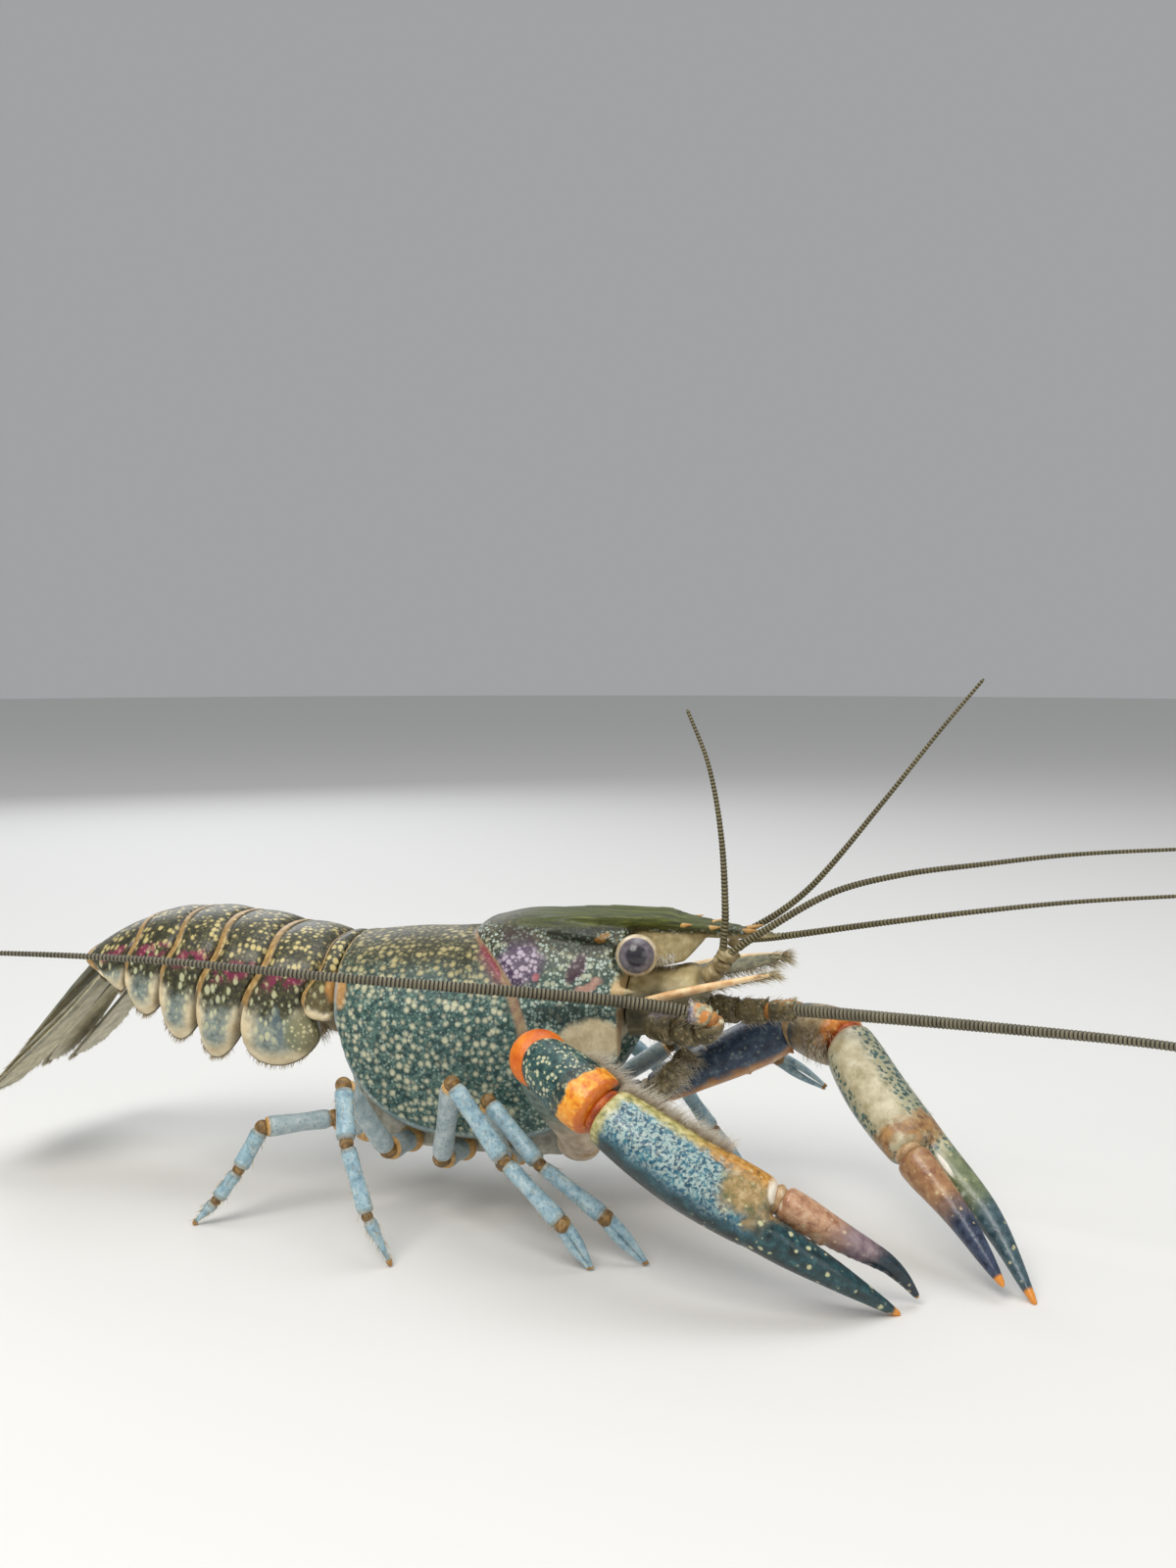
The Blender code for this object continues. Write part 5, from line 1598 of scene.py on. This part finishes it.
    bm = startMesh()
    spots = curveSpots([dactylRoot] + [placed(spot) for spot in arm["dactyl"]], 8)
    spots[0] -= ahead * 0.5 * mm
    keys = [(spot, *size) for spot, size in zip(spots, clawSetup["dactylSizes"])]
    rings = sweep(keys, 44, 32, over, aims={0: ahead}, domes=(1.0, 0.5))
    addLoft(bm, rings)
    addTeeth(bm, rings, 1, 9, 38)
    fingerSkin = armFinish(f"claw finger shell {side}", nearFinger if near else farFinger, 0.32)
    solidPiece(bm, rings, f"claw_finger_{side}", [fingerSkin], [f"cheliped_{side}_dactyl"])
    bm = startMesh()
    addBall(bm, dactylRoot - ahead * 0.8 * mm, (1.9, 2.0, 1.1), 0, 28, 18, ahead)
    finishPiece(f"claw_fingerJoint_{side}", bm, [tan])


for side in sides:
    makeClawArm(side)
print("claw arms made")


# Feelers, their scales, eyes and mouthparts

feelerSetup = {
    "long": {
        "r": (
            (50.9, -13.0, 32.4), (46.0, -14.5, 33.4), (33.7, -18.0, 34.8), (8.0, -26.0, 37.2),
            (-16.0, -30.0, 39.0), (-40.7, -30.0, 38.8), (-66.0, -28.4, 37.2),
        ),
        "l": (
            (64.0, 2.0, 30.0), (88.6, -4.0, 30.7), (112.0, -12.0, 31.5), (134.0, -22.0, 31.0),
            (154.0, -34.0, 28.6), (170.0, -45.0, 25.6),
        ),
    },
    "longRadius": ((0.0, 0.88), (0.15, 0.8), (0.5, 0.52), (0.8, 0.33), (1.0, 0.25)),
    "longPitch": 0.56,
    "base": {
        "r": (
            (45.0, -8.3, 29.5), (49.6, -9.8, 28.9), (53.7, -11.4, 29.7), (54.2, -12.2, 31.4),
            (51.2, -12.9, 32.4),
        ),
        "l": ((45.2, 8.2, 29.5), (50.0, 7.0, 28.7), (54.6, 5.2, 28.7), (59.0, 3.7, 29.2), (63.7, 2.1, 30.0)),
    },
    "baseRadii": (2.0, 2.1, 2.0, 2.1, 1.8, 1.9, 1.65, 1.6, 1.35),
    "baseParts": ((0.0, 0.3), (0.31, 0.55), (0.56, 0.78), (0.79, 1.0)),
    "scaleRoot": (44.8, 9.4, 32.55),
    "scaleTip": (62.0, 6.8, 36.8),
    # share of the scale, half width, half height
    "leaf": (
        (0, 1.2, 0.8), (0.15, 2.3, 0.6), (0.4, 3.0, 0.45), (0.65, 2.9, 0.38), (0.85, 1.9, 0.32),
        (0.96, 0.7, 0.26),
    ),
    # share of the scale, radius
    "blade": ((0, 0.9), (0.2, 0.95), (0.5, 0.85), (0.8, 0.6), (0.95, 0.4), (1.0, 0.16)),
    "shortBase": ((51.3, 2.3, 34.8), (52.7, 2.5, 35.5), (54.1, 3.4, 37.2), (55.0, 4.2, 39.2)),
    "shortBaseRadii": (1.1, 1.35, 1.3, 1.15, 1.35, 1.3, 1.1),
    "shortBaseParts": ((0.0, 0.45), (0.47, 0.75), (0.77, 1.0)),
    "shortRadius": ((0.0, 0.55), (0.3, 0.45), (0.7, 0.32), (1.0, 0.25)),
    "shortPitch": 0.5,
    "short": {
        "r": {
            "outer": ((54.7, -4.4, 44.3), (53.8, -3.2, 55.0), (51.6, -1.0, 64.2), (48.0, 2.0, 71.6)),
            "inner": (
                (59.8, -4.5, 42.0), (68.6, 0.8, 46.9), (77.6, 4.4, 49.2), (88.0, 8.0, 50.5),
                (101.0, 12.5, 51.8), (119.0, 18.0, 52.6),
            ),
        },
        "l": {
            "outer": (
                (60.9, 4.4, 43.3), (66.1, 4.6, 48.0), (74.8, 5.0, 59.0), (82.4, 6.0, 69.1), (87.9, 7.4, 76.0),
            ),
            "inner": (
                (62.6, 3.8, 40.2), (75.2, 3.9, 42.5), (88.1, 5.0, 44.5), (100.9, 6.5, 46.1),
                (119.0, 8.4, 47.6),
            ),
        },
    },
    "jaw": ((37.7, 3.0, 14.6), (42.0, 4.1, 15.6), (46.0, 4.5, 18.8), (47.2, 4.1, 22.2), (49.4, 3.4, 21.4)),
    "jawRadii": (1.8, 1.9, 1.5, 1.1, 0.7),
}


def ringedFinish(name, dark, light, pitch):
    finish, shader, spot = newFinish(name, roughness=0.45)
    share = calc("FRACT", calc("DIVIDE", mark(spot, "along"), pitch))
    groove = between(calc("ABSOLUTE", calc("SUBTRACT", share, 0.5)), 0.22, 0.4)
    tone = tones(spot, 2.5, 3, [v * 0.8 for v in light], light)
    paintOn(shader, mixed(groove, tone, dark), cloudy(spot, 0.4), 0.03)
    return finish


def addFeeler(bm, spots, radiusRows, pitch, points, first):
    marks = marksOf(spots)
    steps = max(int(marks[-1] / pitch) * 4, 8)
    keys = [(spot, 1, 1) for spot in spots]
    rings = sweep(keys, steps + 1, points, Vector((0, 0.2, 1)), aims={0: first})
    for i, ring in enumerate(rings):
        share = ring["along"] / rings[-1]["along"]
        swell = (1.0, 1.07, 1.0, 0.84)[i % 4] if share < 0.995 else 0.7
        size = valueAt(radiusRows, share) * swell
        ring["along"] = i * pitch / 4
        ring["spots"] = [ring["centre"] + (spot - ring["centre"]) * size for spot in ring["spots"]]
    addLoft(bm, rings)


def partOfPath(spots, radii, first, last, count=7):
    marks = marksOf(spots)
    rows = list(zip(marks, spots))
    sizes = [(marks[-1] * i / (len(radii) - 1), radius) for i, radius in enumerate(radii)]
    keys = []
    for i in range(count):
        share = i / (count - 1)
        t = marks[-1] * (first + (last - first) * share)
        swell = valueAt(((0, 0.88), (0.15, 0.98), (0.5, 0.96), (0.85, 1.05), (1, 0.92)), share)
        size = valueAt(sizes, t) * swell
        keys.append((vectorAt(rows, t), size, size))
    return keys


def scaleFinish():
    blade, shader, spot = newFinish("antennal scale blade", roughness=0.4, coat=0.1, depth=0.15)
    base = tones(spot, 1.6, 4, (214, 162, 108), (244, 208, 158), (252, 232, 196))
    paintOn(shader, base, cloudy(spot, 0.5), 0.06)
    leaf, shader, spot = newFinish("antennal scale leaf", roughness=0.45, depth=0.15)
    base = tones(spot, 1.2, 4, (84, 82, 52), (138, 132, 92), (190, 176, 132))
    base = mixed(product(spotted(spot, 0.9, 0.22), 0.7), base, (66, 64, 42))
    paintOn(shader, base, cloudy(spot, 0.5), 0.06)
    return blade, leaf


def feelerBaseFinish():  # brown below, with lilac, orange and cream on the joint that carries the long feeler
    finish, shader, spot = newFinish("feeler base shell", roughness=0.45, depth=0.1)
    lift = calc("ADD", parts(spot)[2], cloudy(spot, 1.2))
    brown = tones(spot, 1.1, 4, (60, 55, 38), (100, 90, 62), (144, 128, 92))
    lilac = tones(spot, 0.8, 4, (96, 92, 116), (164, 158, 168))
    warm = between(cloudy(wobbled(spot, 1.0, 1.0), 1.1, 3), 0.48, 0.56)
    cream = spotted(spot, 0.9, 0.26, soft=0.5, vary=0.8)
    foremost = between(ragged(parts(spot)[0], spot, 1.4, 1.6), 51.8, 53.0)
    tealish = tones(spot, 0.7, 4, (92, 116, 112), (196, 184, 140))
    bright = layered(
        lilac, (foremost, tealish), (warm, foremost, (206, 136, 70)), (cream, 0.8, (226, 212, 178)),
    )
    base = layered(
        brown, (spotted(spot, 0.8, 0.18), 0.5, (190, 172, 126)), (between(lift, 31.0, 31.9), bright),
    )
    paintOn(shader, base, cloudy(spot, 0.5, 4), 0.12)
    return finish


def makeFeelers():
    setup = feelerSetup
    longSkin = ringedFinish("long feeler rings", (40, 35, 26), (126, 120, 98), setup["longPitch"])
    shortSkin = ringedFinish("short feeler rings", (40, 36, 20), (118, 108, 74), setup["shortPitch"])
    baseSkin = feelerBaseFinish()
    warmSkin = softFinish("feeler base joint skin", (126, 74, 30), (176, 116, 56), (214, 166, 104), 1.0, 0.4)
    dullSkin = softFinish("feeler base fold skin", (62, 52, 34), (102, 88, 60), (140, 122, 86), 1.0, 0.45)
    paleSkin = softFinish(
        "short feeler base skin", (104, 92, 62), (164, 146, 108), (208, 190, 150), 1.0, 0.45,
    )
    blade, leaf = scaleFinish()
    for side, sign in sides.items():
        spots = curveSpots([placed(spot) for spot in setup["base"][side]], 9)
        end = (spots[-1] - spots[-2]).normalized()
        bm = startMesh()
        for i, (first, last) in enumerate(setup["baseParts"]):
            keys = partOfPath(spots, setup["baseRadii"], first, last)
            rings = sweep(keys, 18, 24, domes=(0.5, 0.6))
            addLoft(bm, rings)
            spikesOn(bm, rings, [(0.8, turn, 0.7, 0.3) for turn in ((80, 20) if i < 2 else (100, 40, 160))])
            skinRings[f"base{i}_{side}"] = rings
            if i:
                size = keys[0][1] * 0.86
                addBall(bm, keys[0][0], (size, size, size), 1 if i == 3 else 2)
        finishPiece(
            f"feeler_base_{side}", bm, [baseSkin, warmSkin, dullSkin],
            [f"antenna_peduncle_{side}"],
        )
        bm = startMesh()
        route = [placed(spot) for spot in setup["long"][side]]
        route[0] = spots[-1] + end * (gap - 0.5) * mm
        addFeeler(bm, route, setup["longRadius"], setup["longPitch"], 12, end)
        finishPiece(f"feeler_long_{side}", bm, [longSkin], [f"antenna_flagellum_{side}"])

        root, tip = (placed(setup[key], sign) for key in ("scaleRoot", "scaleTip"))
        lean = Vector((0, -0.35 * sign, 1))
        bm = startMesh()
        keys = []
        for t, width, height in setup["leaf"]:
            spot = root.lerp(tip, t) - Vector((0, sign * 0.3 * width, 0)) * mm
            keys.append((spot, width * 0.8, height * 0.8))
        leafRings = sweep(keys, 30, 28, lean, domes=(0.4, 0.6))
        skinRings[f"leaf_{side}"] = leafRings
        addLoft(bm, leafRings, 1)
        keys = []
        widths = [row[:2] for row in setup["leaf"]]
        for t, radius in setup["blade"]:
            out = valueAt(widths, min(t, widths[-1][0])) * 0.62 * max(1 - t, 0) ** 0.25
            keys.append((root.lerp(tip, t) + Vector((0, sign * out, 0.3 * out)) * mm, radius, radius * 0.62))
        addLoft(bm, sweep(keys, 30, 20, lean, domes=(0.5, 0.2)), 0)
        finishPiece(f"feeler_scale_{side}", bm, [blade, leaf], [f"antennal_scale_{side}"])

        spots = curveSpots([placed(spot, sign) for spot in setup["shortBase"]], 7)
        end = (spots[-1] - spots[-2]).normalized()
        bm = startMesh()
        for first, last in setup["shortBaseParts"]:
            keys = partOfPath(spots, setup["shortBaseRadii"], first, last)
            addLoft(bm, sweep(keys, 12, 20, domes=(0.35, 0.4)))
        finishPiece(f"feeler_short_base_{side}", bm, [paleSkin], [f"antennule_{side}_base"])
        fore = Vector((end.z, 0, -end.x)).normalized()
        for which, shift in (("outer", -0.62), ("inner", 0.62)):
            bm = startMesh()
            route = [spots[-1] + (end * -0.1 + fore * shift) * mm]
            route += [placed(spot) for spot in setup["short"][side][which]]
            addFeeler(bm, route, setup["shortRadius"], setup["shortPitch"], 10, end)
            finishPiece(
                f"feeler_short_{which}_{side}", bm, [shortSkin], [f"antennule_{side}_{which}"],
            )


def eyeFinish(sign):
    finish, shader, spot = newFinish(f"eye {'left' if sign > 0 else 'right'}", roughness=0.22, coat=0.35)
    centre = Vector(mirrored(eyeSetup["centre"], sign))
    away = vectorCalc("NORMALIZE", vectorCalc("SUBTRACT", spot, centre))
    facing = vectorCalc("DOT_PRODUCT", away, Vector(mirrored(eyeSetup["look"], sign)).normalized())
    rim = tones(spot, 0.9, 3, (184, 156, 116), (232, 218, 186))
    ring = tones(spot, 0.8, 3, (84, 76, 84), (122, 116, 122))
    base = layered(rim, (between(facing, 0.5, 0.6), ring), (between(facing, 0.82, 0.92), (40, 37, 44)))
    paintOn(shader, base, spotted(spot, 0.16, 0.05), 0.01)
    return finish


def makeEyes():
    for side, sign in sides.items():
        centre = placed(eyeSetup["centre"], sign)
        bm = startMesh()
        radius = eyeSetup["radius"]
        addBall(bm, centre, (radius, radius, radius), 0, 40, 28, Vector(mirrored(eyeSetup["aim"], sign)))
        keys = [(placed(row, sign), row[3], row[3]) for row in eyeSetup["stalk"]]
        addLoft(bm, sweep(keys, 12, 28, aims={0: Vector((0, sign, 0))}, domes=(0, 1.2)))
        finishPiece(f"eye_{side}", bm, [eyeFinish(sign)], [f"eye_{side}"])


def makeMouthparts():
    shell = softFinish(
        "mouthpart shell", (64, 56, 38), (108, 97, 68), (154, 138, 104), 1.2, 0.5, 0.1, (160, 144, 108),
    )
    for side, sign in sides.items():
        joints = [placed(spot, sign) for spot in feelerSetup["jaw"]]
        radii = feelerSetup["jawRadii"]
        bm = startMesh()
        for k in range(4):
            profile = legSetup["profile"] if k < 3 else legSetup["tipProfile"]
            skinRings[f"jaw{k}_{side}"] = addSegment(
                bm, joints[k], joints[k + 1], radii[k:k + 2], profile, up, 22,
            )
            if k < 3:
                size = radii[k + 1] * 0.85
                addBall(bm, joints[k + 1], (size, size, size))
        finishPiece(f"mouthpart_{side}", bm, [shell], [f"maxilliped_{side}"])


makeFeelers()
makeEyes()
makeMouthparts()
print("feelers, eyes and mouthparts made")


# Hair and bristles: tapered, bent tufts, rooted in the shell that they grow on

coatSetup = {
    "corners": 3,
    "tip": 0.15,  # a tuft's radius at its tip, as a share of its root's
    "patch": 0.003,  # a tuft's size on the flat map
    # tone at the root and at the tip
    "tones": {
        "claw": ((150, 124, 84), (222, 214, 198)), "mouthpart": ((148, 132, 98), (218, 206, 180)),
        "carapace": ((206, 200, 182), (244, 242, 236)), "antennal_scale": ((118, 106, 70), (196, 180, 140)),
        "antenna": ((124, 108, 78), (210, 194, 162)), "leg": ((150, 128, 84), (214, 196, 150)),
        "tail_fan": ((110, 102, 76), (186, 176, 146)), "abdomen": ((150, 134, 104), (208, 194, 162)),
    },
}


def tuftShape():  # a tuft of length and radius 1: its points, its faces, and each face laid flat
    bm = bmesh.new()
    bmesh.ops.create_cone(
        bm, cap_ends=True, segments=coatSetup["corners"], radius1=1.0, radius2=coatSetup["tip"], depth=1.0
    )
    upright = [edge for edge in bm.edges if abs(edge.verts[0].co.z - edge.verts[1].co.z) > 0.5]
    bmesh.ops.subdivide_edges(bm, edges=upright, cuts=2)
    bmesh.ops.translate(bm, vec=(0, 0, 0.5), verts=bm.verts)
    bmesh.ops.recalc_face_normals(bm, faces=bm.faces)
    bm.verts.index_update()
    points = [vert.co.copy() for vert in bm.verts]
    faces = [[vert.index for vert in face.verts] for face in bm.faces]
    flat = []
    for face in faces:
        turns = [atan2(points[k].y, points[k].x) / (2 * pi) % 1 for k in face]
        if max(turns) - min(turns) > 0.5:
            turns = [turn + 1 if turn < 0.5 else turn for turn in turns]
        if len(face) == 4:
            flat.append([(turn, points[k].z) for turn, k in zip(turns, face)])
        else:
            flat.append([(0.5 + points[k].x * 0.3, 0.5 + points[k].y * 0.3) for k in face])
    bm.free()
    return points, faces, flat


def coatFinish(slot):
    root, tip = coatSetup["tones"][slot]
    finish, shader, spot = newFinish(f"hair of {slot}", roughness=0.6, sheen=0.15)
    drift = product(calc("SUBTRACT", cloudy(spot, 1.2), 0.5), 0.7)
    paintOn(shader, ramp(calc("ADD", mark(spot, "along"), drift), ((0.1, root), (0.85, tip))))
    return finish


def finishCoat(name, tufts, slot):
    points, faces, flat = tuftShape()
    spots, shells, shares, places = [], [], [], []
    for root, aim, bend, length, radius, u, v in tufts:
        side = aim.orthogonal().normalized()
        over = aim.cross(side)
        first = len(spots)
        for point in points:
            rise = (point.z - 0.1) * length * mm
            wide = (side * point.x + over * point.y) * radius * mm
            spots.append(root + wide + aim * rise + bend * rise * point.z)
            shares.append(point.z)
        for face, corners in zip(faces, flat):
            shells.append([first + k for k in face])
            for x, y in corners:
                places += (u + x * coatSetup["patch"], v + y * coatSetup["patch"])
    mesh = bpy.data.meshes.new(name)
    mesh.from_pydata(spots, [], shells)
    mesh.attributes.new("along", "FLOAT", "POINT").data.foreach_set("value", shares)
    mesh.uv_layers.new(name="OFBake").data.foreach_set("uv", places)
    mesh.materials.append(coatFinish(slot))
    mesh.shade_smooth()
    piece = linked(name, mesh)
    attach(piece, "root")


def strewn(amount):
    return Vector([random.uniform(-amount, amount) for _ in range(3)])


def growOn(tufts, rings, count, span, turns, length, radius, tile, lean=0.3, droop=0.3):
    # span is a share of the row of rings, turns are degrees about them, tile is the start and width of
    # their place on the flat map
    for _ in range(count):
        share = random.uniform(*span)
        turn = random.uniform(*turns)
        ring = rings[round(share * (len(rings) - 1))]
        across, over, width, height = ring["frame"]
        out = across * cos(radians(turn)) * width + over * sin(radians(turn)) * height
        root = ring["centre"] + out * 0.94 + ring["ahead"] * random.uniform(-0.3, 0.3) * mm
        aim = (out.normalized() + ring["ahead"] * lean + strewn(0.22)).normalized()
        size = random.uniform(*length)
        if root.z + aim.z * size * mm < 0.7 * mm:  # it would reach the floor
            continue
        bend = ring["ahead"] * 0.3 - up * droop + strewn(0.2)
        thick = radius * random.uniform(0.8, 1.1)
        tufts.append((root, aim, bend, size, thick, tile[0] + tile[1] * share, turn / 360 % 1))


def clawHair():
    tufts = []
    for name, *row in (
        ("palm_r", 2000, (0.0, 0.66), (138, 200), (1.2, 2.8), 0.045, (0.0, 0.3), 0.1, 0.0),
        ("carpus_r", 1200, (0.3, 0.98), (145, 205), (1.6, 3.4), 0.045, (0.32, 0.15), 0.2, 0.0),
        ("palm_l", 500, (0.03, 0.7), (-25, 35), (0.8, 1.6), 0.06, (0.5, 0.3), 0.25, 0.1),
        ("carpus_l", 300, (0.5, 1.0), (-35, 30), (1.4, 2.4), 0.06, (0.82, 0.15), 0.4, 0.1),
    ):
        growOn(tufts, skinRings[name], *row)
    return tufts


def mouthHair():
    tufts = []
    for n, side in enumerate(sides):
        for k, count, length in (
            (0, 130, (0.8, 1.8)), (1, 190, (1.2, 2.6)), (2, 150, (1.2, 2.4)), (3, 80, (1.0, 1.9)),
        ):
            growOn(
                tufts, skinRings[f"jaw{k}_{side}"], count, (0.05, 0.98), (0, 360), length, 0.045,
                (0.5 * n + 0.12 * k, 0.1), lean=0.5, droop=0.4,
            )
    return tufts


def browHair():
    tufts = []
    for n, sign in enumerate(sides.values()):
        for _ in range(110):
            share = random.random()
            rise = random.random()
            root = place(43.6 + 3.6 * share, 2.75 * sign, 36.6 + 1.6 * rise)
            aim = (Vector((0.5, sign, -0.25)) + strewn(0.3)).normalized()
            bend = strewn(0.25) - up * 0.3
            length = random.uniform(0.9, 1.8)
            tufts.append((root, aim, bend, length, 0.05, 0.5 * n + 0.4 * share, rise))
    return tufts


def scaleHair():
    tufts = []
    for n, side in enumerate(sides):
        inner = 180 if side == "r" else 0
        rings, tile = skinRings[f"leaf_{side}"], (0.5 * n, 0.4)
        growOn(tufts, rings, 420, (0.15, 1.0), (inner - 35, inner + 35), (1.2, 2.4), 0.06, tile, lean=0.5)
        growOn(tufts, rings, 160, (0.8, 1.0), (0, 360), (1.2, 2.2), 0.06, tile, lean=1.2)
    return tufts


def feelerHair():
    tufts = []
    for n, (side, counts) in enumerate({"r": (40, 40, 50, 50), "l": (40, 80, 100, 100)}.items()):
        for k, count in enumerate(counts):
            growOn(
                tufts, skinRings[f"base{k}_{side}"], count, (0.1, 1.0), (0, 360), (0.6, 1.3), 0.055,
                (0.5 * n + 0.12 * k, 0.1), lean=0.8, droop=0.2,
            )
    return tufts


def legHair():
    tufts = []
    names = sorted(name for name in skinRings if name.startswith("leg"))
    for n, name in enumerate(names):
        count, longest = (110, 1.0) if name.endswith("4") else (45, 1.1)
        tile = (0.045 * n, 0.035)
        rings = skinRings[name]
        growOn(tufts, rings, count, (0.1, 0.95), (0, 360), (0.5, longest), 0.05, tile, lean=0.9, droop=0.2)
    return tufts


def tailHair():
    tufts = []
    plates = [("telson", 1)] + [(which, sign) for which in ("inner", "outer") for sign in sides.values()]
    for n, (which, sign) in enumerate(plates):
        shape = tailSetup[which]
        for _ in range(420):
            edge = random.choice((-1, 1))
            if random.random() < 0.3:
                t = random.uniform(0.62, tailSetup["roundFrom"])
            else:
                t = tailSetup["roundFrom"] + 0.118 * sin(random.uniform(0, pi / 2))
            root = leafSpot(shape, sign, t, edge * 0.98)
            aim = ((root - leafSpot(shape, sign, t - 0.3, 0)).normalized() + strewn(0.12)).normalized()
            length = random.uniform(1.1, 1.9)
            bend = strewn(0.15)
            tufts.append((root, aim, bend, length, 0.07, 0.2 * n + 0.09 + edge * 0.08, t))
    return tufts


def bellyHair():
    tufts = []
    for n, rings in enumerate(skinRings["swimmerets"]):
        for middle in (0, 180):
            tile = (0.03 * n, 0.025)
            turns = (middle - 30, middle + 30)
            growOn(tufts, rings, 45, (0.25, 1.0), turns, (0.8, 1.5), 0.05, tile, lean=0.8, droop=0.2)
    for number in range(1, 6):
        rim = [plateRing(number, 0.12 + 0.02 * k)["spots"][32] for k in range(40)]
        for n, sign in enumerate(sides.values()):
            for _ in range(85):
                k = random.randrange(38)
                root = rim[k].lerp(rim[k + 1], random.random())
                root.y = origin.y + (root.y - origin.y) * sign
                aim = (Vector((-0.3, 0.15 * sign, -1)) + strewn(0.25)).normalized()
                bend = strewn(0.2)
                length = random.uniform(0.5, 0.95)
                tufts.append((root, aim, bend, length, 0.05, 0.5 + 0.08 * number + 0.04 * n, k / 40))
    return tufts


coats = {
    "claw": clawHair, "mouthpart": mouthHair, "carapace": browHair, "antennal_scale": scaleHair,
    "antenna": feelerHair, "leg": legHair, "tail_fan": tailHair, "abdomen": bellyHair,
}
for slot, grow in coats.items():
    finishCoat(f"setae_{slot}", grow(), slot)
print("hair grown")


# Floor, and the view transform

floor = bmesh.new()
bmesh.ops.create_circle(floor, cap_ends=True, segments=96, radius=stageSetup["floorRadius"])
floorMesh = bpy.data.meshes.new("floor")
floor.to_mesh(floorMesh)
floor.free()
floorFinish, floorShader = newFinish("pale floor", roughness=0.75)[:2]
floorShader.inputs["Base Color"].default_value = (*stageSetup["floorColour"], 1)
floorMesh.materials.append(floorFinish)
linked("floor", floorMesh)

bpy.context.scene.view_settings.view_transform = "Standard"
